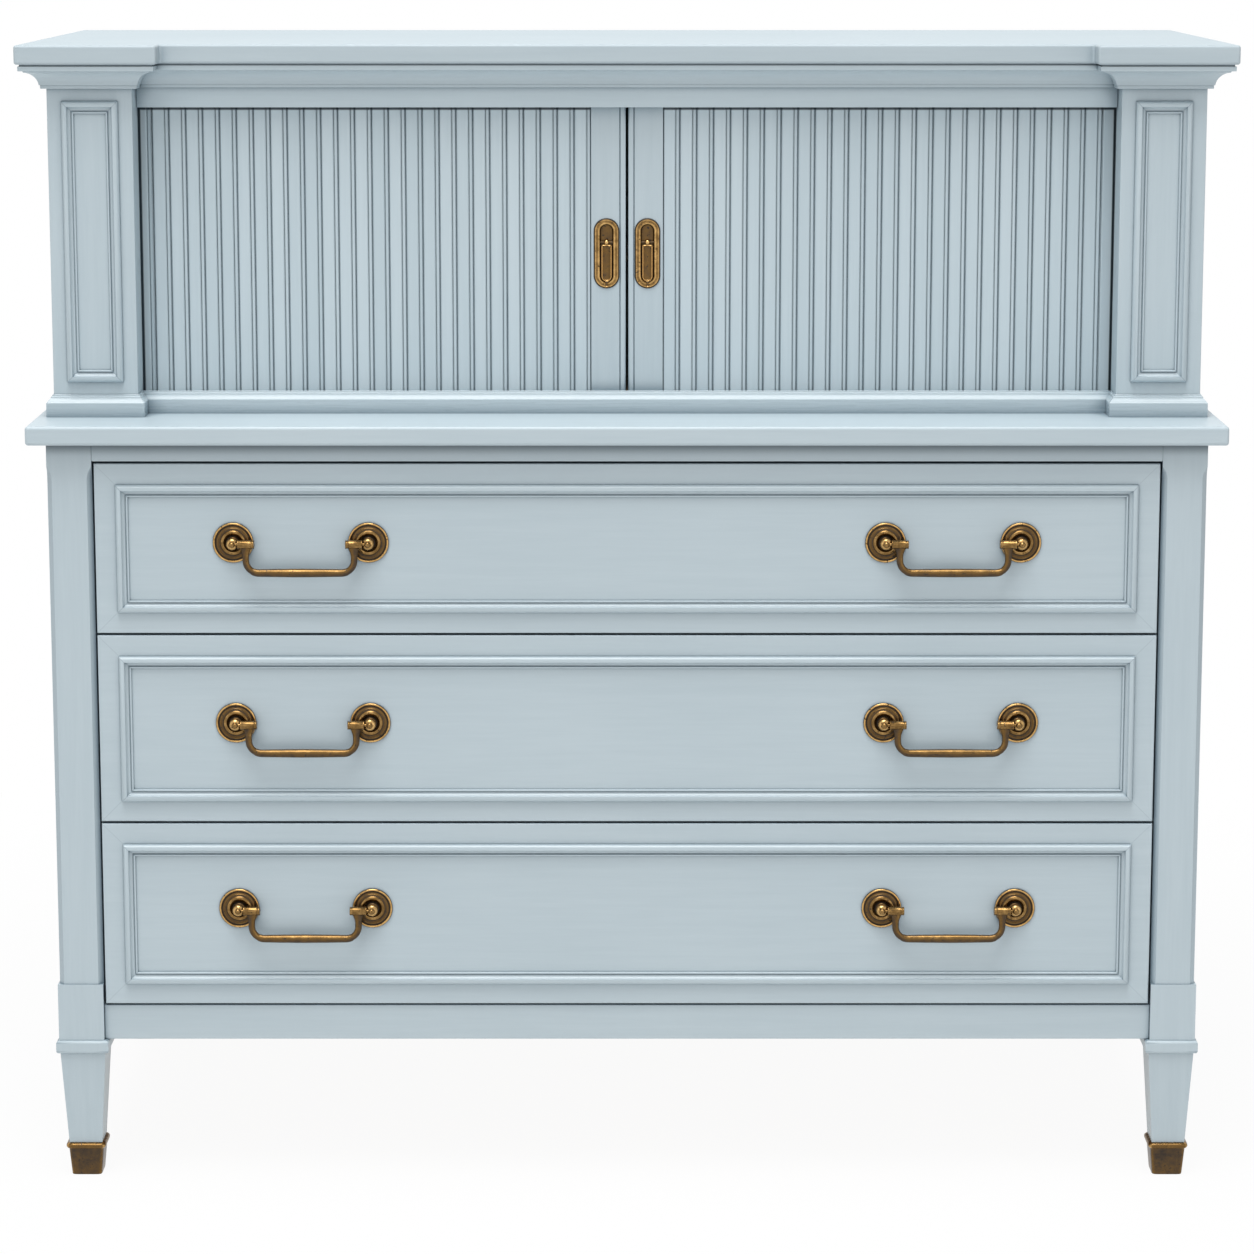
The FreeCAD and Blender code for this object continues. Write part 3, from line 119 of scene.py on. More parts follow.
class Link:
    """An output socket of a node that takes part in arithmetic: each operator adds one Math node."""

    def __init__(self, graph: "Graph", socket: bpy.types.NodeSocket) -> None:
        """Wrap a socket of a graph."""
        self.graph = graph
        self.socket = socket

    def math(self, operation: str, *others: Any) -> "Link":
        """The result of a Math node on this value and on further links or numbers."""
        sockets = dict(enumerate((self, *others)))
        return self.graph.node("ShaderNodeMath", {"operation": operation}, sockets)

    def __add__(self, other: Any) -> "Link":
        """Sum of two values."""
        return self.math("ADD", other)

    def __mul__(self, other: Any) -> "Link":
        """Product of two values."""
        return self.math("MULTIPLY", other)

    def __sub__(self, other: Any) -> "Link":
        """This value less another."""
        return self.math("SUBTRACT", other)

    def __rsub__(self, other: float) -> "Link":
        """A number less this value."""
        return self.graph.node("ShaderNodeMath", {"operation": "SUBTRACT"}, {0: other, 1: self})

    __radd__ = __add__

    def at_most(self, other: Any) -> "Link":
        """The smaller of two values."""
        return self.math("MINIMUM", other)

    def at_least(self, other: Any) -> "Link":
        """The larger of two values."""
        return self.math("MAXIMUM", other)

    def size(self) -> "Link":
        """The value without its sign."""
        return self.math("ABSOLUTE")

    def rise(self, low: float, high: float) -> "Link":
        """A smooth step.

        Args:
            low: where the step leaves 0.
            high: where the step reaches 1; below low the step falls instead.

        Returns:
            0 at low and 1 at high, smooth between them.
        """
        ends = {"Value": self, "From Min": min(low, high), "From Max": max(low, high)}
        ends |= {"To Min": float(low > high), "To Max": float(low <= high)}
        return self.graph.node("ShaderNodeMapRange", {"interpolation_type": "SMOOTHSTEP"}, ends)

    def band(self, up: Span, down: Span) -> "Link":
        """A smooth step up times a smooth step down."""
        return self.rise(*up) * self.rise(*down)


class Graph:
    """The nodes of one material or of the world."""

    def __init__(self, tree: bpy.types.NodeTree) -> None:
        """Empty a node tree and keep it."""
        tree.nodes.clear()
        self.tree = tree

    def node(self, kind: str, settings: dict[str, Any], sockets: dict[Any, Any], out: Any = 0) -> Link:
        """Add a node.

        Args:
            kind: the node's type.
            settings: its properties, set first.
            sockets: a link or a value for each input that is named or numbered here.
            out: the output that is given back.

        Returns:
            That output.
        """
        made = self.tree.nodes.new(kind)
        for name, value in settings.items():
            setattr(made, name, value)
        for name, value in sockets.items():
            if isinstance(value, Link):
                self.tree.links.new(value.socket, made.inputs[name])
            else:
                made.inputs[name].default_value = value
        return Link(self, made.outputs[out] if len(made.outputs) else made.inputs[0])

    def place(self, stretch: Sequence[float] = (1, 1, 1)) -> Link:
        """Object coordinates, times a factor for each axis."""
        spot = self.node("ShaderNodeTexCoord", {}, {}, "Object")
        return self.node("ShaderNodeMapping", {}, {"Vector": spot, "Scale": tuple(stretch)})

    def split(self, vector: Link) -> tuple[Link, Link, Link]:
        """A vector's three values."""
        outputs = self.node("ShaderNodeSeparateXYZ", {}, {"Vector": vector}).socket.node.outputs
        return Link(self, outputs[0]), Link(self, outputs[1]), Link(self, outputs[2])

    def axes(self) -> tuple[Link, Link, Link]:
        """Object coordinates as three values."""
        return self.split(self.place())

    def sideways(self) -> Link:
        """How far a surface faces to a side: 0 towards the front, 1 square to a side."""
        return self.split(self.node("ShaderNodeNewGeometry", {}, {}, "Normal"))[0].size()

    def noise(self, where: Link, scale: float, detail: float, rough: float) -> Link:
        """Soft noise from 0 to 1: spots in a metre, octaves and the weight of the finer octaves."""
        sockets = {"Vector": where, "Scale": scale, "Detail": detail, "Roughness": rough}
        return self.node("ShaderNodeTexNoise", {}, sockets, "Fac")

    def named(self, attribute: str) -> Link:
        """A value that the mesh itself carries."""
        return self.node("ShaderNodeAttribute", {"attribute_name": attribute}, {}, "Fac")

    def mix(self, share: Any, low: Any, high: Any, kind: str = "RGBA") -> Link:
        """A colour between two others, or coordinates between two others.

        Args:
            share: 0 gives low and 1 gives high.
            low: first colour or coordinates.
            high: second colour or coordinates.
            kind: RGBA for colours, VECTOR for coordinates.

        Returns:
            The mixture.
        """
        first, out = {"RGBA": (6, 2), "VECTOR": (4, 1)}[kind]
        sockets = {0: share, first: low, first + 1: high}
        return self.node("ShaderNodeMix", {"data_type": kind}, sockets, out)

    def corner(self, reach: float) -> Link:
        """How open a point is: 1 on a flat, about a half in a square corner, less in a groove."""
        return self.node("ShaderNodeAmbientOcclusion", {"samples": 6}, {"Distance": reach}, "AO")

    def bump(self, height: Link, reach: float, strength: float) -> Link:
        """A normal tilted by a share of a height from 0 to 1, where 1 stands for reach metres."""
        sockets = {"Strength": strength, "Distance": reach, "Height": height}
        return self.node("ShaderNodeBump", {}, sockets)

    def surface(self, shader: Link) -> None:
        """Join a shader to the output."""
        self.node("ShaderNodeOutputMaterial", {}, {"Surface": shader})

    def principled(self, sockets: dict[str, Any]) -> None:
        """Join a Principled shader with these inputs to the output."""
        self.surface(self.node("ShaderNodeBsdfPrincipled", {}, sockets))


class Finish:
    """A finish that makes its material once, under its title."""

    title: str

    def draw(self, graph: Graph) -> None:
        """Add the finish's nodes."""
        raise NotImplementedError

    def material(self) -> bpy.types.Material:
        """Make the material on first use.

        Returns:
            The material.
        """
        known = bpy.data.materials.get(self.title)
        if known:
            return known
        made = bpy.data.materials.new(self.title)
        made.use_nodes = True
        self.draw(Graph(made.node_tree))
        return made


@dataclass(frozen=True)
class Paint(Finish):
    """Satin paint with faint brush marks along a board.

    The tone moves by long streaks and by soft clouds; the same streaks tilt the surface a little.
    """

    grain: Grain
    light: Colour = (0.514, 0.600, 0.644, 1)
    dark: Colour = (0.472, 0.560, 0.606, 1)
    # Colour of painted shade in corners and on sideways edges and chamfers, and of the dark mitre
    # joint lines
    grime: Colour = (0.190, 0.262, 0.312, 1)
    # Colour of deeper painted shade: in creases, the painted shadow under the deck and the painted
    # shadow lines at the slats' ends
    shade: Colour = (0.028, 0.044, 0.056, 1)
    matt: float = 0.30
    per_slat: bool = False
    # Whether sideways-facing edges and chamfers get painted shade
    lined: bool = False
    mitred: Panel | None = None
    framed: bool = False
    streaks: Noise = (420.0, 3.0, 0.6)
    figures: Noise = (120.0, 2.0, 0.5)
    clouds: Noise = (5.0, 2.0, 0.55)
    tone_span: Span = (0.28, 0.72)
    slat_spread: float = 0.35
    streak_matt: float = 0.16
    relief: Span = (0.25 * MM, 0.14)
    # Painted shade in corners, darker where a point is closed in
    dust_reach: float = 5 * MM
    dust_span: Span = (0.80, 0.22)
    dust_depth: float = 0.92
    shade_reach: float = 18 * MM
    shade_span: Span = (0.86, 0.42)
    shade_depth: float = 0.85
    # Painted shade in creases
    crease_reach: float = 2.6 * MM
    crease_span: Span = (0.72, 0.20)
    crease_depth: float = 0.75
    slat_crease_depth: float = 0.45
    # Painted shadow lines on the slats: under the frieze and beside the pilasters
    top_line: float = 3.8 * MM
    end_line: float = 2.4 * MM
    # Painted shadow on the boards just under the deck
    eave_reach: float = 13.0 * MM
    eave_top: float = 0.2 * MM
    eave_depth: float = 0.66
    # Painted shade on rounded edges and chamfers that face sideways
    line_band: tuple[Span, Span] = ((0.08, 0.30), (0.68, 0.50))
    line_depth: float = 0.75
    chamfer_band: tuple[Span, Span] = ((0.30, 0.60), (0.95, 0.80))
    chamfer_depth: float = 0.22
    seam: float = 0.5 * MM
    seam_depth: float = 0.35
    framed_seam_depth: float = 0.7
    mitre_span: Span = (20 * MM, 19 * MM)

    @property
    def title(self) -> str:
        """The material's name."""
        plain = self.mitred.name if self.mitred else f"{100 * self.matt:.0f}" + "_lined" * self.lined
        return f"paint_{self.grain.name.lower()}_{'slats' if self.per_slat else plain}"

    def draw(self, graph: Graph) -> None:
        """Add streaks, clouds, painted shade, painted shade on sideways edges and chamfers, mitre
        joint lines, roughness and bump.

        Args:
            graph: the material's nodes.
        """
        along = graph.place(self.grain.value)
        if self.mitred:
            lead, seam = self.mitres(graph)
        if self.framed:
            upright = graph.place(Grain.ALONG_Z.value)
            along = graph.mix(lead.math("LESS_THAN", 0.0), along, upright, "VECTOR")
        streak = graph.noise(along, *self.streaks)
        figure = graph.noise(along, *self.figures)
        cloud = graph.noise(graph.place(), *self.clouds)
        tone = streak * 0.34 + figure * 0.36 + cloud * 0.3
        if self.per_slat:
            tone = tone + (graph.named("tone") - 0.5) * self.slat_spread
        colour = self.dirt(graph, graph.mix(tone.rise(*self.tone_span), self.dark, self.light))
        # Painted shade on rounded edges and chamfers that face sideways
        if self.lined:
            turn = graph.sideways()
            line = turn.band(*self.line_band) * self.line_depth
            chamfer_shade = turn.band(*self.chamfer_band) * self.chamfer_depth
            colour = graph.mix(line.at_least(chamfer_shade), colour, self.grime)
        if self.mitred:
            depth = self.framed_seam_depth if self.framed else self.seam_depth
            colour = graph.mix(seam * depth, colour, self.grime)
        graph.principled({
            "Base Color": colour,
            "Roughness": self.matt + streak * self.streak_matt,
            "Normal": graph.bump(streak * 0.6 + figure * 0.4, *self.relief),
        })

    def dirt(self, graph: Graph, colour: Link) -> Link:
        """Add painted shade in corners and creases, a painted shadow under the deck, and painted
        shadow lines where the slats' field ends.

        Args:
            graph: the material's nodes.
            colour: the clean paint.

        Returns:
            The paint with its painted shade.
        """
        # Painted shade in corners
        corner_shade = graph.corner(self.dust_reach).rise(*self.dust_span) * self.dust_depth
        # Painted shade in creases, darker than in corners
        crease = graph.corner(self.crease_reach).rise(*self.crease_span)
        x, _, z = graph.axes()
        if self.per_slat:
            # Painted shadow lines on the slats, under the frieze and beside the pilasters
            edge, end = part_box("frieze_rail")[0][2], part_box("pilaster_right")[0][0]
            frieze_shadow_line = z.rise(edge - self.top_line, edge - 0.6 * self.top_line)
            pilaster_shadow_line = x.size().rise(end - self.end_line, end - 0.5 * self.end_line)
            crease = (crease * self.slat_crease_depth).at_least(frieze_shadow_line).at_least(pilaster_shadow_line)
        else:
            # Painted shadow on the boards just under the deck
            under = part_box("deck")[0][2]
            deck_shadow = z.band((under - self.eave_reach, under), (under + self.eave_top, under))
            crease = (crease * self.crease_depth).at_least(deck_shadow * self.eave_depth)
            shade = graph.corner(self.shade_reach).rise(*self.shade_span)
            corner_shade = corner_shade.at_least(shade * self.shade_depth)
        return graph.mix(crease, graph.mix(corner_shade, colour, self.grime), self.shade)

    def mitres(self, graph: Graph) -> tuple[Link, Link]:
        """Fine slanted lines from a panel's corners, where the reach from an end and an edge agree.

        Args:
            graph: the material's nodes.

        Returns:
            The reach from an end less that from an edge, and 1 on the lines and 0 elsewhere.
        """
        panel = self.mitred
        x, _, z = graph.axes()
        from_end = (panel.outer - x.size()).at_most(x.size() - panel.inner)
        from_edge = (z - panel.low).at_most(panel.high - z)
        lead = from_end - from_edge
        return lead, lead.size().rise(self.seam, 0.2 * self.seam) * from_end.rise(*self.mitre_span)


@dataclass(frozen=True)
class Brass(Finish):
    """Aged brass: dark in the hollows, worn bright on the crests, with small spots and scratches.

    The share of bright metal is the mesh's own value of wear and painted light, moved by noise;
    corners get painted shade.
    """

    title: str = "aged_brass"
    dark: Colour = (0.026, 0.015, 0.007, 1)
    middle: Colour = (0.150, 0.084, 0.027, 1)
    bright: Colour = (0.630, 0.395, 0.155, 1)
    polish: float = 0.0
    clouds: Noise = (160.0, 4.0, 0.6)
    cloud_spread: float = 0.55
    specks: Noise = (900.0, 2.0, 0.5)
    speck_spread: float = 0.22
    pits: Noise = (420.0, 1.0, 0.55)
    pit_span: Span = (0.66, 0.74)
    pit_depth: float = 0.5
    middle_span: Span = (0.02, 0.52)
    bright_span: Span = (0.50, 1.02)
    # Painted shade in the brass's corners
    dust_reach: float = 4 * MM
    dust_span: Span = (0.72, 0.18)
    dust_depth: float = 0.85
    least_metal: float = 0.35
    metal_span: Span = (0.1, 0.6)
    matt: float = 0.34
    gloss: float = 0.14
    gloss_span: Span = (0.1, 0.9)
    relief: Span = (0.3 * MM, 0.18)

    def draw(self, graph: Graph) -> None:
        """Add patina, worn crests, spots, painted shade in corners, roughness and bump.

        Args:
            graph: the material's nodes.
        """
        where = graph.place()
        cloud = graph.noise(where, *self.clouds)
        speck = graph.noise(where, *self.specks)
        wear = graph.named("wear") + self.polish
        wear = wear + (cloud - 0.5) * self.cloud_spread + (speck - 0.5) * self.speck_spread
        wear = wear - graph.noise(where, *self.pits).rise(*self.pit_span) * self.pit_depth
        colour = graph.mix(wear.rise(*self.middle_span), self.dark, self.middle)
        colour = graph.mix(wear.rise(*self.bright_span), colour, self.bright)
        # Painted shade in the corners, in the dark patina colour
        corner_shade = graph.corner(self.dust_reach).rise(*self.dust_span) * self.dust_depth
        colour = graph.mix(corner_shade, colour, self.dark)
        graph.principled({
            "Base Color": colour,
            "Metallic": self.least_metal + wear.rise(*self.metal_span) * (1 - self.least_metal),
            "Roughness": self.matt - wear.rise(*self.gloss_span) * self.gloss,
            "Normal": graph.bump(speck * 0.5 + cloud * 0.5, *self.relief),
        })


@dataclass(frozen=True)
class BareWood(Finish):
    """Bare sealed wood: streaked figure along the board with fine dark pores."""

    grain: Grain
    light: Colour = (0.545, 0.385, 0.225, 1)
    dark: Colour = (0.330, 0.205, 0.105, 1)
    name: str = "inside_wood"
    figures: Noise = (55.0, 4.0, 0.6)
    pores: Noise = (900.0, 2.0, 0.6)
    tone_span: Span = (0.3, 0.7)
    matt: float = 0.52
    pore_matt: float = 0.16
    relief: Span = (0.3 * MM, 0.3)
    painted_front: str = ""
    painted_reach: float = 24 * MM
    paint: Colour = (0.493, 0.580, 0.625, 1)
    crossed_back: str = ""
    back_thick: float = 12.5 * MM

    @property
    def title(self) -> str:
        """The material's name."""
        return self.painted_front or self.crossed_back or f"{self.name}_{self.grain.name.lower()}"

    def draw(self, graph: Graph) -> None:
        """Add figure, pores, roughness and bump.

        Args:
            graph: the material's nodes.
        """
        along = graph.place(self.grain.value)
        y = graph.axes()[1]
        if self.crossed_back:
            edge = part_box(self.crossed_back)[1][1] - self.back_thick
            across = graph.place(Grain.ALONG_X.value)
            along = graph.mix(y.math("GREATER_THAN", edge), along, across, "VECTOR")
        figure = graph.noise(along, *self.figures)
        pore = graph.noise(along, *self.pores)
        tone = figure * 0.8 + pore * 0.2
        colour = graph.mix(tone.rise(*self.tone_span), self.dark, self.light)
        if self.painted_front:
            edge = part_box(self.painted_front)[0][1] + self.painted_reach
            colour = graph.mix((y + pore * MM).rise(edge + 1 * MM, edge), colour, self.paint)
        graph.principled({
            "Base Color": colour,
            "Roughness": self.matt + pore * self.pore_matt,
            "Normal": graph.bump(pore * 0.7 + figure * 0.3, *self.relief),
        })


@dataclass(frozen=True)
class Canvas(Finish):
    """Plain woven cloth behind the slats: two crossed sets of threads."""

    title: str = "canvas"
    thread: float = 0.7 * MM
    light: Colour = (0.30, 0.30, 0.28, 1)
    dark: Colour = (0.16, 0.16, 0.15, 1)
    matt: float = 0.9
    relief: Span = (0.2 * MM, 0.5)

    def draw(self, graph: Graph) -> None:
        """Add threads across and threads upright, one over the other.

        Args:
            graph: the material's nodes.
        """
        x, y, z = graph.axes()
        turns = math.tau / self.thread
        across = ((x + y) * turns).math("SINE")
        upright = (z * turns).math("SINE")
        height = (across * upright) * 0.5 + 0.5
        colour = graph.mix(height, self.dark, self.light)
        graph.principled({
            "Base Color": colour, "Roughness": self.matt, "Normal": graph.bump(height, *self.relief),
        })


@dataclass(frozen=True)
class Finishes:
    """Every finish of the tallboy."""

    paint_x: Paint = Paint(Grain.ALONG_X)
    paint_base: Paint = Paint(Grain.ALONG_X, matt=0.20)
    # The slab's paint is a darker copy and the frieze's a lighter copy of the same paint: painted
    # shade and painted light
    paint_slab: Paint = Paint(
        Grain.ALONG_X, (0.474, 0.552, 0.593, 1), (0.435, 0.515, 0.558, 1), matt=0.42)
    paint_frieze: Paint = Paint(
        Grain.ALONG_X, (0.566, 0.661, 0.709, 1), (0.520, 0.617, 0.667, 1), matt=0.31)
    paint_z: Paint = Paint(Grain.ALONG_Z)
    paint_post: Paint = Paint(Grain.ALONG_Z, lined=True)
    # The slats' paint is a lighter copy of the same paint: painted light
    slats: Paint = Paint(
        Grain.ALONG_Z, (0.561, 0.655, 0.703, 1), (0.515, 0.612, 0.661, 1), per_slat=True)
    brass: Brass = Brass()
    pin_brass: Brass = Brass("plain_brass", polish=0.6)
    wood_x: BareWood = BareWood(Grain.ALONG_X)
    wood_y: BareWood = BareWood(Grain.ALONG_Y)
    wood_z: BareWood = BareWood(Grain.ALONG_Z)
    back: BareWood = BareWood(
        Grain.ALONG_Z, (0.47, 0.34, 0.21, 1), (0.33, 0.22, 0.125, 1), "back_board")
    canvas: Canvas = Canvas()


FINISH = Finishes()


# Surfaces


@dataclass
class Shell:
    """Points, faces and values of one or more closed surfaces."""

    points: np.ndarray
    quads: np.ndarray
    caps: list[np.ndarray] = field(default_factory=list)
    wear: np.ndarray | None = None

    def moved(self, by: Sequence[float]) -> "Shell":
        """The same surface at another place."""
        return Shell(self.points + np.asarray(by, float), self.quads, self.caps, self.wear)

    def merged(self) -> tuple["Shell", list[list[int]]]:
        """The same surface with its doubles merged.

        Points that agree to a micrometre become one, with the first one's value. A quad that loses a
        corner by this becomes a triangle, and one that loses two goes.

        Returns:
            The surface, and all its faces as lists.
        """
        spots = np.round(self.points * 1e6)
        _, first, place = np.unique(spots, axis=0, return_index=True, return_inverse=True)
        place = place.ravel()
        quads = place[self.quads]
        keep = quads != np.roll(quads, 1, axis=1)
        corners = keep.sum(1)
        faces = quads[corners == 4].tolist()
        faces += quads[corners == 3][keep[corners == 3]].reshape(-1, 3).tolist()
        faces += [place[cap].tolist() for cap in self.caps]
        wear = None if self.wear is None else np.asarray(self.wear)[first]
        return Shell(self.points[first], quads, [], wear), faces

    def flipped(self) -> "Shell":
        """The same surface on the other side of the YZ plane."""
        return Shell(self.points * np.array([-1.0, 1.0, 1.0]), self.quads, self.caps, self.wear)


def joined(shells: Sequence[Shell]) -> Shell:
    """Several surfaces as one.

    Args:
        shells: the surfaces.

    Returns:
        One surface that holds them all.
    """
    starts = np.cumsum([0] + [len(shell.points) for shell in shells[:-1]])
    quads = np.concatenate([shell.quads + start for shell, start in zip(shells, starts)])
    caps = [cap + start for shell, start in zip(shells, starts) for cap in shell.caps]
    wear = np.concatenate([np.zeros(len(s.points)) if s.wear is None else s.wear for s in shells])
    return Shell(np.concatenate([shell.points for shell in shells]), quads, caps, wear)


def grid_shell(points: np.ndarray, wear: np.ndarray | None = None, loop: bool = False,
               capped: bool = False) -> Shell:
    """A surface on a grid of points: row u by column v, where the columns always close.

    Args:
        points: array of rows by columns by 3.
        wear: value for each row and column, or for each row.
        loop: whether the last row joins the first.
        capped: whether the first and the last row are closed by flat faces.

    Returns:
        The surface, with a quad between each pair of neighbouring rows and columns.
    """
    rows, columns = points.shape[:2]
    u = np.arange(rows if loop else rows - 1)[:, None]
    v = np.arange(columns)[None, :]
    after_u, after_v = (u + 1) % rows, (v + 1) % columns
    quads = np.stack([u * columns + v, after_u * columns + v, after_u * columns + after_v,
                      u * columns + after_v], -1).reshape(-1, 4)
    ends = [np.arange(columns), (rows - 1) * columns + np.arange(columns)] if capped else []
    if wear is not None:
        wide = wear if wear.ndim == 2 else wear[:, None]
        wear = np.broadcast_to(wide, (rows, columns)).ravel()
    return Shell(points.reshape(-1, 3), quads, ends, wear)


def lathe(section: np.ndarray, axis: int, wear: np.ndarray | float, steps: int,
          loop: bool = False) -> Shell:
    """A turned surface: at each length along the axis, a circle of the given radius.

    Args:
        section: points (length, radius); a radius of 0 at both ends closes the surface.
        axis: 0, 1 or 2 for X, Y or Z.
        wear: value at each length, or one for all.
        steps: points on a circle.
        loop: whether the last circle joins the first.

    Returns:
        The surface.
    """
    turn = np.linspace(0, math.tau, steps, endpoint=False)
    points = np.empty((len(section), steps, 3))
    points[..., axis] = section[:, :1]
    points[..., (axis + 1) % 3] = section[:, 1:] * np.cos(turn)
    points[..., (axis + 2) % 3] = section[:, 1:] * np.sin(turn)
    return grid_shell(points, np.broadcast_to(wear, len(section)), loop)


def unit(vectors: np.ndarray) -> np.ndarray:
    """The same directions, each of length 1."""
    return vectors / np.linalg.norm(vectors, axis=1)[:, None]


def arc(start: Sequence[float], end: Sequence[float], bulge: float, steps: int = 7) -> np.ndarray:
    """Points of a round curve between two points, without the last.

    The curve is the chord plus a sideways reach of bulge times the chord at its middle, on a circle:
    with bulge b the half angle is 2 atan(2 b), and the points are spread evenly over the angle.

    Args:
        start: first point of the plane.
        end: last point of the plane.
        bulge: sideways reach as a share of the chord, to the left where positive.
        steps: number of points.

    Returns:
        Array of steps by 2.
    """
    a, b = np.asarray(start, float), np.asarray(end, float)
    chord = b - a
    half = 2 * math.atan(2 * bulge)
    left = np.array([-chord[1], chord[0]])
    angle = np.linspace(-half, half, steps, endpoint=False)[:, None]
    across = np.sin(angle) / (2 * math.sin(half)) + 0.5
    side = (np.cos(angle) - math.cos(half)) / (2 * math.sin(half))
    return a + chord * across + left * side


def profile(*parts: Any) -> np.ndarray:
    """A closed outline of points by 2, from single points and arrays of points."""
    return np.concatenate([np.atleast_2d(np.asarray(part, float)) for part in parts])


def stand(name: str, shell: Shell, finish: Finish, body: str, node: str = "",
          crisp: float = CRISP, also: Finish | None = None) -> bpy.types.Object:
    """Make a piece of a surface, put it on a body and report it.

    Args:
        name: the piece's name.
        shell: its surface.
        finish: its finish.
        body: the body that it moves with.
        node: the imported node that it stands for, if any.
        crisp: edges bent by more degrees than this stay crisp.
        also: a finish for faces with a negative wear value.

    Returns:
        The piece.
    """
    shell, faces = shell.merged()
    mesh = bpy.data.meshes.new(name)
    mesh.from_pydata(shell.points.tolist(), [], faces)
    if shell.wear is not None:
        # Brass pieces carry wear together with painted highlights and painted shade
        layer = mesh.attributes.new("tone" if isinstance(finish, Paint) else "wear", "FLOAT", "POINT")
        layer.data.foreach_set("value", np.asarray(shell.wear, np.float32))
    work = bmesh.new()
    work.from_mesh(mesh)
    bmesh.ops.recalc_face_normals(work, faces=work.faces)
    work.to_mesh(mesh)
    work.free()
    mesh.polygons.foreach_set("use_smooth", np.ones(len(mesh.polygons), bool))
    mesh.set_sharp_from_angle(angle=math.radians(crisp))
    mesh.materials.append(finish.material())
    if also:
        mesh.materials.append(also.material())
        mesh.polygons.foreach_set("material_index", [int(shell.wear[face[0]] < 0) for face in faces])
    mesh.update()
    piece = bpy.data.objects.new(name, mesh)
    bpy.context.scene.collection.objects.link(piece)
    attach(piece, body)
    if node:
        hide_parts(node)
    log.info("%s: %d faces on %s", name, len(mesh.polygons), body)
    return piece


def stand_brass(name: str, shell: Shell, body: str, node: str) -> None:
    """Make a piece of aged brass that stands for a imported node."""
    stand(name, shell, FINISH.brass, body, node, CRISP_BRASS)


def pivot_of(joint: str) -> np.ndarray:
    """The point that a joint turns about."""
    return np.array(next(j["pos_m"] for j in frame["joints"] if j["name"] == joint))


# The case: packed boards that keep their shape


@dataclass
class Boards:
    """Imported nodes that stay, each with its finish and a small round on its sharp edges."""

    edge: float = 0.8 * MM
    soft_edge: float = 1.3 * MM
    crease: float = math.radians(28)
    flat: float = math.radians(0.6)
    weld: float = 0.01 * MM
    segments: int = 2

    def finishes(self) -> dict[str, tuple[Finish, float]]:
        """The finish and the edge round of every node that stays.

        Returns:
            A finish and a width for each node's name.
        """
        upright = ("lower_side", "upper_side", "pilaster", "lead_stile", "post_rear")
        table: dict[str, tuple[Finish, float]] = {}
        for name in ("top_rail", "bottom_rail", "deck"):
            table[name] = (FINISH.paint_x, self.edge)
        table["top_slab"] = (FINISH.paint_slab, self.edge)
        table["frieze_rail"] = (FINISH.paint_frieze, self.edge)
        for side in Side:
            table |= {f"{name}_{side.word}": (FINISH.paint_z, self.edge) for name in upright}
            table[f"post_front_{side.word}"] = (FINISH.paint_post, self.edge)
        for drawer in DRAWERS:
            front, box = f"{drawer}_drawer_front", f"{drawer}_drawer_box"
            table[front] = (Paint(Grain.ALONG_X, mitred=Panel.of(front)), self.edge)
            table[box] = (BareWood(Grain.ALONG_Y, crossed_back=box), self.soft_edge)
            table[f"{drawer}_drawer_bottom"] = (FINISH.wood_x, 0.0)
        for name in ("rear_rails", "shelf"):
            table[name] = (FINISH.wood_x, self.edge)
        for name in ("drawer_dividers", "cabinet_floor", "cabinet_ceiling"):
            table[name] = (BareWood(Grain.ALONG_X, painted_front=name), self.edge)
        for name in ("drawer_runners", "drawer_kickers", "dust_bottom"):
            table[name] = (FINISH.wood_y, 0.0)
        table["tambour_liners"] = (FINISH.wood_z, 0.0)
        table["lower_back"] = table["upper_back"] = (FINISH.back, 0.0)
        table["shelf_pins"] = (FINISH.pin_brass, 0.0)
        return table

    def dress(self) -> None:
        """Give every node its finish, and round its sharp edges with modifiers."""
        for name, (finish, edge) in self.finishes().items():
            node = frame["nodes"][name]
            node.data.materials.clear()
            node.data.materials.append(finish.material())
            if edge:
                self.soften(node, edge)
            log.info("%s: packed solid in %s", name, finish.title)

    def soften(self, node: bpy.types.Object, width: float) -> None:
        """Join a node's triangles to flats and round the edges between them.

        Args:
            node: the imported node.
            width: width of the round.
        """
        weld = node.modifiers.new("weld", "WELD")
        weld.merge_threshold = self.weld
        flats = node.modifiers.new("flats", "DECIMATE")
        flats.decimate_type = "DISSOLVE"
        flats.angle_limit = self.flat
        rounding = node.modifiers.new("rounding", "BEVEL")
        rounding.width = width
        rounding.segments = self.segments
        rounding.limit_method = "ANGLE"
        rounding.angle_limit = self.crease
        rounding.use_clamp_overlap = True
        rounding.harden_normals = True


# Mouldings


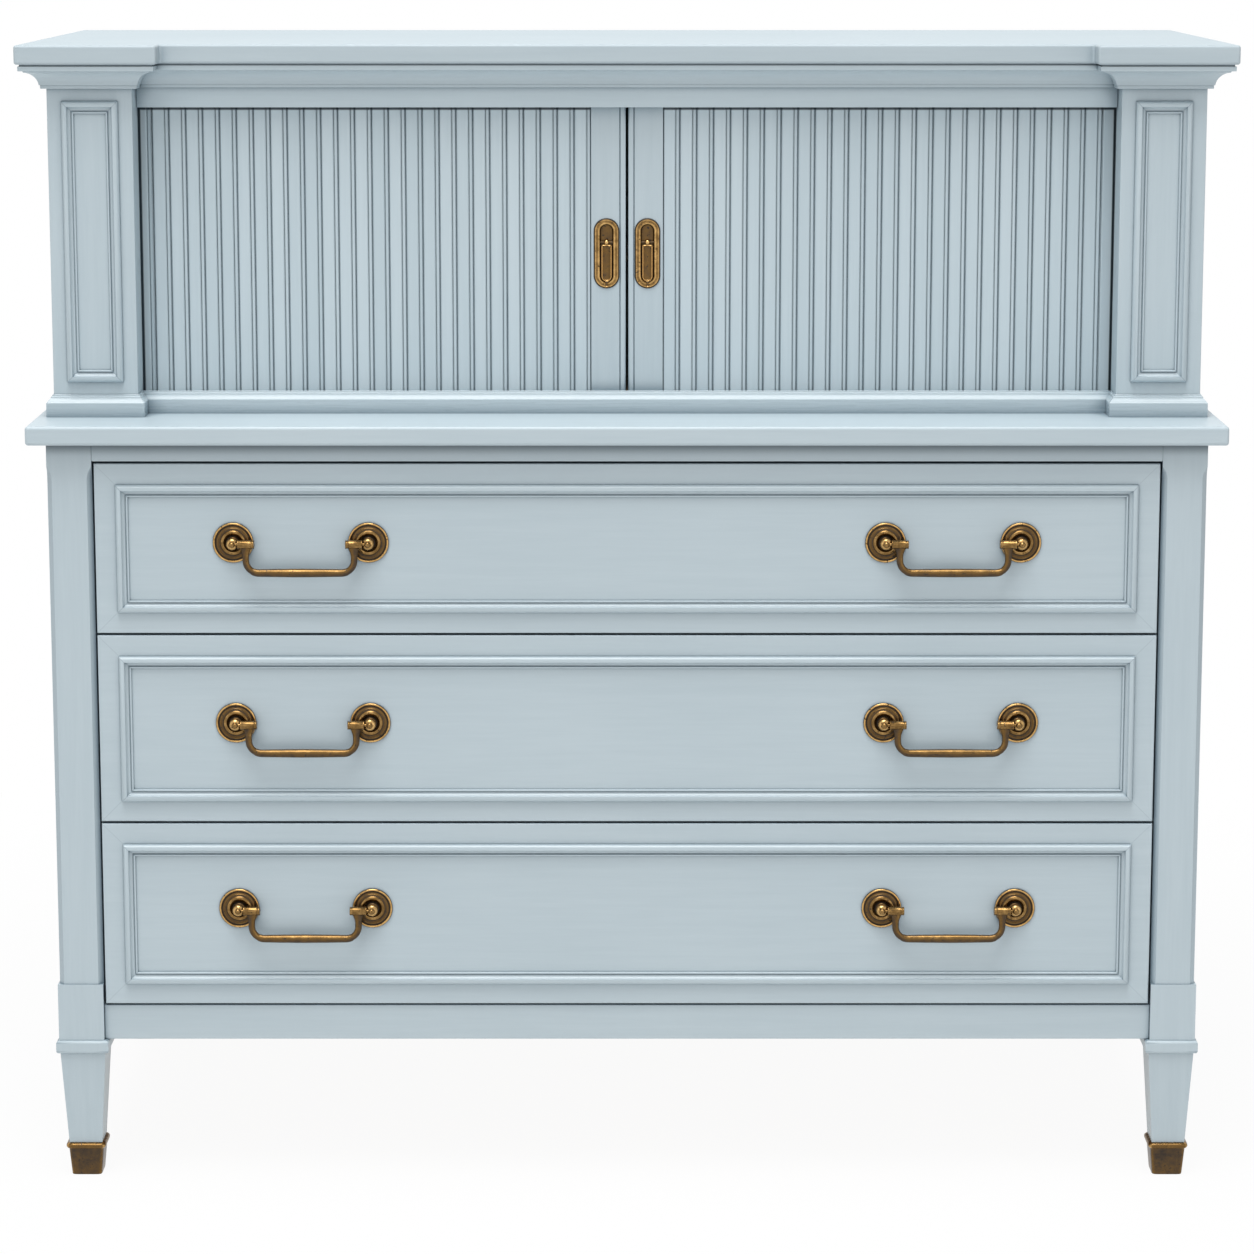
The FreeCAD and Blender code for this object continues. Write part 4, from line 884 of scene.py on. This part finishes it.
@dataclass
class Mouldings:
    """All the mouldings: drawer panels, pilaster panels, base and cornice."""

    panel_inset: float = 13.5 * MM
    gloss: float = 0.20

    def build(self) -> None:
        """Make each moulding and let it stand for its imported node."""
        for drawer in DRAWERS:
            panel = Panel.of(f"{drawer}_drawer_moulding")
            shell = self.frame(*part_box(panel.name))
            self.stand_panel(f"{drawer}_panel_moulding", shell, panel, f"{drawer}_drawer")
        low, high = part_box("pilaster_mouldings")
        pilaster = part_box("pilaster_right")[0]
        inner = pilaster[0] + self.panel_inset
        right = self.frame((inner, low[1], low[2]), (high[0], pilaster[1], high[2]))
        panel = Panel.of("pilaster_mouldings", inner)
        self.stand_panel("pilaster_panel_mouldings", joined([right, right.flipped()]), panel, "case")
        self.run("base_run", "base_moulding", self.base_outline(), FINISH.paint_base)
        self.run("cornice_run", "bed_moulding", self.cornice_outline(), FINISH.paint_x)

    def stand_panel(self, name: str, shell: Shell, panel: Panel, body: str) -> None:
        """Make a panel's moulding in a paint with mitre lines, for the panel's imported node."""
        finish = Paint(Grain.ALONG_X, matt=self.gloss, mitred=panel, framed=True)
        stand(name, shell, finish, body, panel.name)

    def panel_outline(self) -> np.ndarray:
        """Section round a panel: an upright, a quarter round, a step, a hollow, a groove and a bead.

        Returns:
            Points (across, height), from the outer edge inwards.
        """
        return profile(
            (0, 0), (0, 1.9), arc((0.15, 2.2), (4.6, 5.2), 0.17, 10), (5.2, 5.2), (5.4, 4.0),
            arc((5.6, 3.8), (8.8, 1.3), -0.13, 8), (9.0, 0.7), (9.5, 0.7),
            arc((9.6, 1.2), (11.5, 1.2), 0.5, 9), (11.6, 1.0), (11.7, 0),
        ) * MM

    def frame(self, low: Sequence[float], high: Sequence[float]) -> Shell:
        """The panel section carried round a rectangle with mitred corners.

        A point of the section with reach a and height h sits, at each corner, a inside both edges and
        h in front of the board.

        Args:
            low: lowest corner of the moulding's box.
            high: highest corner of the box; the board is at its Y.

        Returns:
            The surface.
        """
        section = self.panel_outline()
        corner = np.array([(low[0], low[2]), (high[0], low[2]), (high[0], high[2]), (low[0], high[2])])
        inward = np.array([(1, 1), (-1, 1), (-1, -1), (1, -1)])
        points = np.empty((4, len(section), 3))
        points[..., ::2] = corner[:, None] + inward[:, None] * section[:, :1]
        points[..., 1] = high[1] - section[:, 1]
        return grid_shell(points, loop=True)

    def base_outline(self) -> np.ndarray:
        """Section of the base: a flat face, a sloped shoulder, a quirk and a lip.

        Returns:
            Points (reach, height).
        """
        return profile(
            (0, 0), (6.5, 0), (6.5, 13.0), (6.3, 13.5), (6.0, 13.8),
            arc((5.9, 13.9), (2.9, 17.2), -0.06, 6), (2.7, 17.5), (2.6, 18.6), (2.4, 18.9),
            (1.3, 19.6), (1.2, 19.9), (1.2, 20.6), (0.8, 21), (0, 21),
        ) * MM

    def cornice_outline(self) -> np.ndarray:
        """Section of the cornice: a lower fillet, a deep cove and an upper fillet.

        Returns:
            Points (reach, height).
        """
        return profile(
            (0, 0), (4.6, 0), (5.0, 0.4), (5.0, 3.2), (5.9, 3.3),
            arc((6.0, 3.6), (18.4, 15.6), 0.17, 14), (18.4, 15.6), (18.9, 16.7), (22.5, 16.9),
            (22.9, 17.3), (23.0, 21.3), (21.6, 21.5), (21.6, 23), (0, 23),
        ) * MM

    def run(self, name: str, node: str, section: np.ndarray, finish: Finish) -> None:
        """Carry a section along the cabinet's plan: two forward ends and a centre that is set back.

        A point with reach p sits p along the sum of the normals of the two runs that meet at a corner.

        Args:
            name: the piece's name.
            node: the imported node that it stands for.
            section: points (reach, height).
            finish: its finish.
        """
        inner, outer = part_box("pilaster_right")
        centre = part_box("frieze_rail")[0][1]
        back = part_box("upper_side_right")[1][1]
        right = np.array([
            (inner[0], centre), (inner[0], inner[1]), (outer[0], inner[1]), (outer[0], back),
        ])
        path = np.concatenate([right[::-1] * np.array([-1, 1]), right])
        way = unit(np.diff(path, axis=0))
        normal = np.stack([way[:, 1], -way[:, 0]], -1)
        reach = np.concatenate([normal[:1], normal[:-1] + normal[1:], normal[-1:]])
        points = np.empty((len(path), len(section), 3))
        points[..., :2] = path[:, None, :] + reach[:, None, :] * section[None, :, :1]
        points[..., 2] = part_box(node)[0][2] + section[:, 1]
        shell = grid_shell(points, capped=True)
        stand(name, shell, finish, "case", node, CRISP_RUN)


# Drawer pulls


@dataclass
class DrawerPulls:
    """Turned rosettes and posts, and the bails that swing between them."""

    spread: float = 63.5 * MM
    reach: float = 12.0 * MM
    drop: float = 27.0 * MM
    arm: float = 50.7 * MM
    bend: float = 12.0 * MM
    shoulder: float = 12.0 * MM
    lean: float = 1.2 * MM
    width: float = 3.15 * MM
    depth: float = 2.75 * MM
    swell: float = 0.95 * MM
    flare: float = 4.2 * MM
    # Angle round the bail's bar of its painted highlight
    rubbed: float = 4.2
    plate_wear: float = 0.38
    rim_wear: float = 0.48
    ring_wear: float = 0.26
    hollow_wear: float = 0.02
    post_wear: float = 0.66
    collar_wear: float = 0.2
    nut_wear: float = 0.4
    bar_wear: float = 0.22
    # A painted highlight along the bar, and painted shade on its underside
    crest_wear: float = 0.36
    under_wear: float = -0.20
    middle_wear: float = 0.06
    barrel_wear: float = 0.62

    def rosette(self) -> Shell:
        """A turned plate: half-round rim, shallow dish, half-round inner ring and a deeper dish.

        Returns:
            The surface.
        """
        section = profile(
            (0, 2.7), (0, 18.6), (0.5, 19.0), arc((0.8, 19.0), (1.7, 16.8), 0.45, 12), (1.0, 16.5),
            (1.0, 15.7), arc((1.4, 15.4), (1.7, 13.9), -0.05, 4), (2.0, 13.8), (2.0, 13.4),
            (1.8, 13.2), (1.9, 12.0), arc((2.1, 11.8), (2.0, 7.4), 0.27, 14), (1.2, 6.9),
            arc((1.0, 6.7), (1.0, 5.2), -0.06, 4), (1.0, 2.7),
        ) * MM
        height, radius = section[:, 0], section[:, 1]
        rim = radius > 15 * MM
        crest = np.clip((height - np.where(rim, 1.0, 1.7) * MM) / (1.2 * MM), 0, 1)
        wear = self.plate_wear + np.where(rim, self.rim_wear, self.ring_wear) * crest
        wear = np.where((radius < 7.0 * MM) | (height < 0.9 * MM), self.hollow_wear, wear)
        groove = (np.abs(radius - 16.1 * MM) < 0.5 * MM) | (np.abs(radius - 12 * MM) < 0.1 * MM)
        wear = np.where(groove | (radius > 18.9 * MM), 0.0, wear)
        return lathe(section * (-1, 1), 1, wear, 64, loop=True)

    def post(self) -> Shell:
        """A turned post: collar, waist, ring and a ball with a small nub, and the stud behind it.

        Returns:
            The surface.
        """
        section = profile(
            (-28, 0), (-28, 2.5), (0.6, 2.5), (0.6, 5.0), arc((1.4, 5.3), (3.2, 4.4), 0.25, 5),
            (3.4, 3.5), arc((4.0, 3.3), (6.8, 3.3), -0.10, 6), (7.2, 4.5),
            arc((7.6, 5.2), (13.1, 3.5), 0.22, 10), (13.3, 2.6),
            arc((13.5, 2.8), (16.5, 0.0), 0.24, 8), (16.6, 0),
        ) * MM
        wear = np.clip(section[:, 0] / (12 * MM), 0, 1) * self.post_wear
        wear += (section[:, 1] > 4.0 * MM) * self.collar_wear
        return lathe(section * (-1, 1), 1, wear, 40)

    def nut(self) -> Shell:
        """A round nut on the stud inside the drawer."""
        section = profile((20, 2.4), (20, 4.6), (20.4, 5), (23.6, 5), (24, 4.6), (24, 2.4)) * MM
        return lathe(section, 1, self.nut_wear, 24, loop=True)

    def bail(self) -> Shell:
        """A bail about its own axis: one bent bar that swells at the middle, and two barrels.

        The bar's middle line drops from a barrel, turns through a quarter circle, runs across and
        rises again. Its section is an ellipse that swells towards the middle. With t the share of the
        shoulder, 1 at the barrel, it leans in by lean t^2 and widens by flare t^2.

        Returns:
            The surface.
        """
        corner, low = self.arm - self.bend, self.drop - self.bend
        down = np.linspace(0, low, 12, endpoint=False)
        turn = np.linspace(0, math.pi / 2, 12, endpoint=False)
        run = np.linspace(corner, 0, 17)
        half_x = [np.full_like(down, self.arm), corner + self.bend * np.cos(turn), run]
        half_z = [-down, -(low + self.bend * np.sin(turn)), np.full_like(run, -self.drop)]
        half_x, half_z = np.concatenate(half_x), np.concatenate(half_z)
        x = np.concatenate([-half_x, half_x[-2::-1]])
        z = np.concatenate([half_z, half_z[-2::-1]])
        line = np.stack([x, np.zeros_like(x), z], -1)
        way = unit(np.gradient(line, axis=0))
        side = np.stack([way[:, 2], np.zeros_like(x), -way[:, 0]], -1)
        top = np.clip((self.shoulder + z) / self.shoulder, 0, 1)
        line[:, 0] -= np.sign(x) * self.lean * top**2
        middle = np.clip(1 - np.abs(x) / self.arm, 0, 1) * (z < 1 * MM - self.drop)
        wide = self.width + self.swell * np.sqrt(middle) + self.flare * top**2
        deep = self.depth + self.swell * np.sqrt(middle)
        angle = np.linspace(0, math.tau, 20, endpoint=False)
        points = line[:, None, :] + side[:, None, :] * (wide[:, None] * np.cos(angle))[..., None]
        points[..., 1] += deep[:, None] * np.sin(angle)
        # A narrow painted highlight along the bar, and painted shade on its underside
        crest = np.clip(np.cos(angle - self.rubbed), 0, 1) ** 8
        under = np.clip(-np.cos(angle - self.rubbed), 0, 1)
        wear = self.bar_wear + self.crest_wear * crest + self.under_wear * under
        wear = wear + self.middle_wear * middle[:, None]
        bar = grid_shell(points, wear, capped=True)
        section = profile(
            (42.6, 0), (42.6, 3.4), arc((42.8, 4.3), (45.0, 4.3), -0.22, 5), (45.2, 3.7), (45.8, 3.7),
            (46.1, 4.2), (57.0, 4.2), (57.3, 4.4), (58.2, 4.4), (58.4, 4.0), (58.4, 1.5), (66.4, 1.5),
            (66.5, 0),
        ) * MM
        barrel = lathe(section, 0, self.barrel_wear, 32)
        return joined([bar, barrel, barrel.flipped()])

    def build(self) -> None:
        """Make the fixed brass of each drawer and each of its bails at the joint that it swings on."""
        fixed, bail = joined([self.rosette(), self.post(), self.nut()]), self.bail()
        for drawer in DRAWERS:
            mounts = []
            for side in Side:
                body = f"{drawer}_bail_{side.word}"
                pivot = pivot_of(f"{body}_swing")
                node = f"{drawer}_drawer_bail_{side.word}"
                stand_brass(f"{body}_handle", bail.moved(pivot), body, node)
                for end in (-self.spread, self.spread):
                    mounts.append(fixed.moved(pivot + np.array([end, self.reach, 0])))
            body = f"{drawer}_drawer"
            stand_brass(f"{drawer}_rosettes", joined(mounts), body, f"{body}_pull_mounts")


# Flush pulls


@dataclass
class FlushPulls:
    """Oval brass cups let into the lead stiles, and the drops that hang in them."""

    width: float = 24.5 * MM
    height: float = 67.0 * MM
    slot: float = 12.2 * MM
    rim: float = 1.6 * MM
    depth: float = 5.4 * MM
    pivot_above: float = 10.4 * MM
    pivot_behind: float = 2.6 * MM
    crest_wear: float = 0.80
    rim_wear: float = 0.60
    wall_wear: float = 0.06
    floor_wear: float = 0.40
    tongue_wear: float = 0.42
    edge_wear: float = 1.25
    boss_wear: float = 1.1
    pin_wear: float = 0.3

    def stadium(self, inset: np.ndarray, steps: int = 40) -> tuple[np.ndarray, np.ndarray]:
        """Slots with round ends, each inset from the rim's outer edge.

        A point is a half circle's direction times the radius left after the inset, plus half of the
        straight length up or down.

        Args:
            inset: inset of each slot.
            steps: points on each round end.

        Returns:
            X and Z, an array of slots by points each.
        """
        half = np.linspace(0, math.pi, steps)
        turn = np.concatenate([half, half + math.pi])
        straight = (self.height - self.width) / 2 * np.repeat([1.0, -1.0], steps)
        radius = np.clip(self.width / 2 - inset, 0, None)[:, None]
        return radius * np.cos(turn), radius * np.sin(turn) + straight

    def cup(self) -> Shell:
        """The cup: a rim with two soft beads, straight walls and a floor, closed behind.

        Returns:
            The surface.
        """
        lip = (self.width - self.slot) / 2
        section = profile(
            (0.0, -0.1 * MM), arc((0.05 * MM, 0.3 * MM), (1.6 * MM, self.rim), 0.18, 8),
            arc((1.6 * MM, self.rim), (lip - 1.5 * MM, self.rim), -0.07, 8),
            arc((lip - 1.5 * MM, self.rim), (lip, 0.4 * MM), 0.2, 7),
            (lip, -self.depth * 0.5), (lip + 0.1 * MM, 0.7 * MM - self.depth),
            (lip + 0.8 * MM, -self.depth), (lip + 1.2 * MM, -self.depth),
            (self.width / 2, -self.depth),
            (self.width / 2, -self.depth - 1.4 * MM), (lip - 1.4 * MM, -self.depth - 1.4 * MM),
            (lip - 1.5 * MM, -0.1 * MM),
        )
        inset, rise = section[:, 0], section[:, 1]
        x, z = self.stadium(inset)
        share = np.clip((lip - inset) / (0.8 * lip), 0, 1)[:, None]
        notch = np.clip(1 - np.abs(x) / (3.2 * MM * (1 - share) + 1e-6), 0, 1) * (share < 1) * (z < 0)
        on_rim = ((rise > 0) & (inset <= lip))[:, None]
        height = rise[:, None] - np.where(on_rim, notch * 1.3 * MM, 0)
        wear = np.where(rise < self.rim - 0.1 * MM, self.rim_wear, self.crest_wear)
        wear = np.where(rise > 0.2 * MM, wear, self.wall_wear)
        wear = np.where(rise < -self.depth + 0.8 * MM, self.floor_wear, wear)
        # Dark round the cup's outer edge: oxide on the outer slope, and painted shade where the cup
        # meets the stile
        wear = np.where(inset < 1.6 * MM, np.minimum(wear, 0.95 * inset / MM - 0.70), wear)
        points = np.stack([x, -height, z], -1)
        return grid_shell(points, wear[:, None] - 0.5 * notch * on_rim, loop=True)

    def drop(self) -> Shell:
        """A drop about the cup's middle: a tongue with a raised edge and a hollow face, and a boss.

        The tongue has a round lower end and two small round shoulders. At an inset d each corner's
        circle keeps its centre while its radius shrinks by d, and moves inwards once that is used up.

        Returns:
            The surface.
        """
        top, bottom, half, shoulder = 8.2 * MM, -27.0 * MM, 4.8 * MM, 1.7 * MM
        section = profile(
            (0, -1.3), (0, 0.6), arc((0.05, 0.7), (1.2, 0.75), -0.36, 7), (1.4, 0.2), (2.0, 0.0),
            (4.8, -0.15), (4.8, -1.3),
        ) * MM
        inset, rise = section[:, :1], section[:, 1:]
        quarter = np.linspace(0, math.pi / 2, 9)
        used = np.maximum(shoulder, inset)
        small = shoulder - np.minimum(shoulder, inset)
        right = half - used + small * np.cos(quarter)
        upper = top - used + small * np.sin(quarter)
        low = np.linspace(math.pi, math.tau, 25)
        x = np.concatenate([right, -right[:, ::-1], (half - inset) * np.cos(low)], 1)
        z = np.concatenate([upper, upper[:, ::-1], bottom + half + (half - inset) * np.sin(low)], 1)
        points = np.stack([x, np.broadcast_to(-rise, x.shape), z], -1)
        wear = np.where(rise[:, 0] > 0.3 * MM, self.edge_wear, self.tongue_wear)
        tongue = grid_shell(points, wear, loop=True)
        turn = np.linspace(0, math.pi, 14)
        ball = np.stack([np.cos(turn) * 2.5 * MM, np.sin(turn) * 2.7 * MM], -1)
        boss = lathe(ball, 1, self.boss_wear, 24)
        rod = profile((-7.4, 0), (-7.4, 1), (7.4, 1), (7.4, 0)) * MM
        pin = lathe(rod, 0, self.pin_wear, 16)
        lift = (0, 0, self.pivot_above)
        return joined([tongue, boss.moved(lift), pin.moved(lift)])

    def build(self) -> None:
        """Make the cup and the drop of each door."""
        for side in Side:
            word = side.word
            middle = pivot_of(f"drop_{word}_swing") - np.array([0, 0, self.pivot_above])
            face = middle - np.array([0, self.pivot_behind, 0])
            cup, drop = self.cup().moved(face), self.drop().moved(middle)
            stand_brass(f"flush_cup_{word}", cup, f"door_{word}", f"flush_pull_{word}")
            stand_brass(f"flush_drop_tongue_{word}", drop, f"drop_{word}", f"flush_drop_{word}")


# Sabots


@dataclass
class Sabots:
    """Tapered square brass cups on the feet, with a half-round rim."""

    across: float = 522.0 * MM
    front: float = -212.0 * MM
    back: float = 229.0 * MM
    steps: int = 64
    squareness: int = 9
    side_wear: float = 0.20
    bead_wear: float = 0.50
    corner_wear: float = 0.42
    foot_wear: float = 0.18

    def cup(self) -> Shell:
        """One cup: a square with rounded corners that widens upwards, a bead, and an inner wall.

        Returns:
            The surface.
        """
        section = profile(
            (0.0, 0.0), (13.6, 0.0), (14.3, 0.3), (14.5, 1.2), (16.2, 20.0), (16.75, 26.4),
            arc((16.9, 26.9), (16.7, 32.6), -0.42, 10), (15.6, 33.0), (15.3, 32.6), (12.7, 3.2),
            (0.0, 3.0),
        ) * MM
        half, level = section[:, 0], section[:, 1]
        turn = np.linspace(0, math.tau, self.steps, endpoint=False)
        ends = np.stack([np.cos(turn), np.sin(turn)], -1)
        square = ends / (np.abs(ends) ** self.squareness).sum(1)[:, None] ** (1 / self.squareness)
        points = np.empty((len(section), self.steps, 3))
        points[..., :2] = half[:, None, None] * square
        points[..., 2] = level[:, None]
        corner = np.clip((np.abs(square).min(1) - 0.80) / 0.16, 0, 1)
        bead = ((level > 26.6 * MM) & (half > 15.5 * MM))[:, None]
        foot = np.clip(1 - level / (4 * MM), 0, 1)[:, None]
        wear = np.where(bead, self.bead_wear, self.side_wear)
        wear = wear + self.corner_wear * corner + self.foot_wear * foot
        return grid_shell(points, wear)

    def build(self) -> None:
        """Make the four cups as one piece."""
        cup = self.cup()
        feet = [(x, y, 0) for x in (-self.across, self.across) for y in (self.front, self.back)]
        stand_brass("sabot_cups", joined([cup.moved(foot) for foot in feet]), "case", "sabots")


# Slatted doors


@dataclass
class Curtain:
    """One slatted door: slats on cloth that run from the lead stile round a bend in the track.

    The first slats move with the door; the others stand on the case.
    """

    side: Side
    pitch: float = 16.0 * MM
    thick: float = 6.0 * MM
    bend_radius: float = 69.0 * MM
    bend_start: float = 445.5 * MM
    travel: float = 330.0 * MM
    count: int = 29
    leading: int = 2
    near: int = 7
    near_limit: float = 472.0 * MM
    cloth: float = 0.35 * MM
    cloth_thick: float = 0.8 * MM
    end_inset: float = 0.6 * MM
    seed: int = 7

    @property
    def levels(self) -> tuple[float, float]:
        """The door's lower and upper end."""
        low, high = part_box(f"tambour_{self.side.word}")
        return low[2], high[2]

    def track(self, run: np.ndarray) -> np.ndarray:
        """Where the backs of the slats are.

        Args:
            run: lengths along the track from the lead stile.

        Returns:
            X, without its sign, and Y: straight on, then on a circle of the bend's radius.
        """
        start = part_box("lead_stile_right")
        straight = self.bend_start - start[1][0]
        angle = np.clip((run - straight) / self.bend_radius, 0, None)
        x = start[1][0] + np.minimum(run, straight) + self.bend_radius * np.sin(angle)
        y = start[0][1] + self.thick + self.bend_radius * (1 - np.cos(angle))
        return np.stack([x, y], -1)

    def section(self) -> np.ndarray:
        """A slat's section: a crowned face, a cove and a lower strip.

        Returns:
            Points (along, out).
        """
        t = self.thick / MM
        return profile(
            (0.02, 0), (15.98, 0), (15.98, 2.7), (15.6, 2.9), arc((15.5, 3.6), (14.9, 4.3), 0.2, 4),
            arc((14.9, 4.3), (12.9, 4.3), 0.03, 4), (12.5, 4.0), (12.4, 3.3), (11.75, 3.3),
            (11.7, 4.0), arc((11.65, t - 0.9), (10.9, t - 0.06), 0.2, 6),
            arc((10.9, t - 0.06), (1.4, t - 0.06), 0.006, 8),
            arc((1.4, t - 0.06), (0.5, t - 1.1), 0.2, 6), (0.4, 2.9), (0.02, 2.7),
        ) * MM

    def slats(self, first: int, last: int, tones: np.ndarray) -> Shell:
        """Slats of a range, each on a chord of the track.

        A point (along, out) of the section sits at the chord's start plus along times its way plus out
        times its normal, at the lower and the upper end of the door.

        Args:
            first: first slat.
            last: the slat after the last.
            tones: the tone of every slat.

        Returns:
            The surface.
        """
        joints = self.track(np.arange(self.count + 1) * self.pitch)
        section = self.section()
        if self.side is Side.LEFT:
            section = np.stack([self.pitch - section[:, 0], section[:, 1]], -1)[::-1]
        start, way = joints[:-1], unit(np.diff(joints, axis=0))
        out = np.stack([way[:, 1], -way[:, 0]], -1)
        plan = start[:, None] + way[:, None] * section[:, :1] + out[:, None] * section[:, 1:]
        low, high = self.levels
        levels = np.array([low, low + self.end_inset, high - self.end_inset, high])
        points = np.empty((self.count, len(levels), len(section), 3))
        points[..., 0] = plan[:, None, :, 0] * self.side.value
        points[..., 1] = plan[:, None, :, 1]
        points[..., 2] = levels[None, :, None]
        tones = np.repeat(tones[:, None], len(levels), 1)
        return joined([grid_shell(points[i], tones[i], capped=True) for i in range(first, last)])

    def backing(self, first: int, last: int) -> Shell:
        """The cloth behind a range of slats: a thin strip that follows the track.

        Args:
            first: first slat.
            last: the slat after the last.

        Returns:
            The surface.
        """
        low, high = self.levels
        run = np.linspace(first * self.pitch, last * self.pitch, (last - first) * 2 + 1)
        line = self.track(run)
        way = unit(np.gradient(line, axis=0))
        back = np.stack([-way[:, 1], way[:, 0]], -1)
        gaps = self.cloth + self.cloth_thick * np.array([0, 0, 1, 1])
        points = np.empty((len(run), 4, 3))
        points[..., :2] = line[:, None] + back[:, None] * gaps[:, None]
        points[..., 0] *= self.side.value
        points[..., 2] = np.array([low, high, high, low])
        return grid_shell(points, np.full(len(run), -1.0), capped=True)

    def part(self, name: str, first: int, last: int, tones: np.ndarray, body: str) -> bpy.types.Object:
        """A range of slats with its cloth, as one piece."""
        shell = joined([self.slats(first, last, tones), self.backing(first, last)])
        return stand(f"curtain_{self.side.word}_{name}", shell, FINISH.slats, body,
                     crisp=CRISP_SLAT, also=FINISH.canvas)

    def build(self) -> None:
        """Make the door's three ranges of slats."""
        word, sign = self.side.word, self.side.value
        tones = np.random.default_rng(self.seed + sign).uniform(0, 1, self.count)
        self.part("leading", 0, self.leading, tones, f"door_{word}")
        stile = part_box("lead_stile_right")[1][0]
        begin = stile + self.leading * self.pitch
        end = stile + self.near * self.pitch
        near = self.part("near", self.leading, self.near, tones, "case")
        keep = (self.near_limit - begin - self.travel) / (end - begin)
        anchor = begin + self.travel / (1 - keep)
        sign * anchor
        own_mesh(near)
        far = self.part("far", self.near, self.count, tones, "case")
        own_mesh(far)
        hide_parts(f"tambour_{word}")


# Studio


@dataclass
class Lamp:
    """A soft square lamp that looks at the tallboy's middle."""

    name: str
    place: Point
    size: float
    watts: float
    target: Point = (0.0, 0.0, 0.55)

    def build(self) -> None:
        """Make the lamp."""
        data = bpy.data.lights.new(self.name, "AREA")
        data.size = self.size
        data.energy = self.watts
        lamp = bpy.data.objects.new(self.name, data)
        bpy.context.scene.collection.objects.link(lamp)
        way = np.array(self.target) - np.array(self.place)
        lamp.location = self.place
        tilt = math.acos(-way[2] / np.linalg.norm(way))
        lamp.rotation_euler = (tilt, 0, math.atan2(-way[0], way[1]))


@dataclass
class Studio:
    """White floor and surroundings, soft lamps and the camera."""

    lamps: tuple[Lamp, ...] = (
        Lamp("over_lamp", (-0.3, -1.6, 7.0), 4.0, 390.0, (0.0, -0.2, 0.8)),
        Lamp("key_lamp", (-1.0, -3.6, 5.0), 2.6, 62.0),
        Lamp("front_lamp", (0.4, -5.0, 0.7), 3.0, 12.0),
        Lamp("left_lamp", (-3.2, -3.2, 1.3), 2.0, 7.0),
        Lamp("right_lamp", (3.2, -3.2, 1.3), 2.0, 9.0),
    )
    ambient: float = 0.29
    floor_glow: float = 0.94
    floor_colour: Colour = (0.84, 0.84, 0.84, 1)
    floor_reach: float = 30.0
    shadow_reach: float = 1.6
    sensor: float = 36.0
    camera_place: Point = (0.0, -3.7, 1.206)
    camera_pitch: float = math.radians(9.34)
    focal_share: float = 3748 / 1254
    shift: float = -0.08

    def seen(self, graph: Graph) -> Link:
        """Tell what is seen, straight or in metal and glass, from what only lights.

        Args:
            graph: the nodes.

        Returns:
            1 for rays from the camera and for glossy and passing rays, else 0.
        """
        path = graph.node("ShaderNodeLightPath", {}, {}, "Is Camera Ray")
        outputs = path.socket.node.outputs
        for name in ("Is Glossy Ray", "Is Transmission Ray"):
            path = path.at_least(Link(graph, outputs[name]))
        return path

    def build(self) -> None:
        """Make the world, the floor, the lamps and the camera."""
        scene = bpy.context.scene
        scene.view_settings.view_transform = "Standard"
        scene.world = bpy.data.worlds.new("studio")
        scene.world.use_nodes = True
        graph = Graph(scene.world.node_tree)
        level = self.ambient + self.seen(graph) * (1 - self.ambient)
        sky = graph.node("ShaderNodeBackground", {}, {"Color": WHITE, "Strength": level})
        graph.node("ShaderNodeOutputWorld", {}, {"Surface": sky})
        self.floor()
        for lamp in self.lamps:
            lamp.build()
        data = bpy.data.cameras.new("camera")
        data.sensor_width = self.sensor
        data.lens = self.focal_share * self.sensor
        data.shift_y = self.shift
        camera = bpy.data.objects.new("camera", data)
        scene.collection.objects.link(camera)
        camera.location = self.camera_place
        camera.rotation_euler = (math.pi / 2 - self.camera_pitch, 0, 0)
        scene.camera = camera

    def floor(self) -> None:
        """Make the white floor, which keeps a soft shadow."""
        reach = self.floor_reach
        corners = [(-reach, -reach, 0), (reach, -reach, 0), (reach, reach, 0), (-reach, reach, 0)]
        mesh = bpy.data.meshes.new("floor")
        mesh.from_pydata(corners, [], [(0, 1, 2, 3)])
        material = bpy.data.materials.new("floor")
        material.use_nodes = True
        graph = Graph(material.node_tree)
        matt = graph.node("ShaderNodeBsdfDiffuse", {}, {"Color": self.floor_colour})
        x, y, _ = graph.axes()
        away = (x * x + y * y).math("SQRT").rise(self.shadow_reach * 0.5, self.shadow_reach)
        glow = graph.node("ShaderNodeEmission", {}, {"Color": WHITE, "Strength": 1.0})
        share = self.seen(graph) * (self.floor_glow + away * (1 - self.floor_glow))
        graph.surface(graph.node("ShaderNodeMixShader", {}, {0: share, 1: matt, 2: glow}))
        mesh.materials.append(material)
        floor = bpy.data.objects.new("floor", mesh)
        bpy.context.scene.collection.objects.link(floor)


def main() -> None:
    """Build every part of the scene."""
    logging.basicConfig(level=logging.INFO, format="%(name)s %(message)s")
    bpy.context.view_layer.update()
    steps: list[Callable[[], None]] = [Boards().dress, Mouldings().build, DrawerPulls().build]
    steps += [FlushPulls().build, Sabots().build, Curtain(Side.LEFT).build, Curtain(Side.RIGHT).build]
    steps.append(Studio().build)
    for step in steps:
        step()


if __name__ == "__main__":
    main()
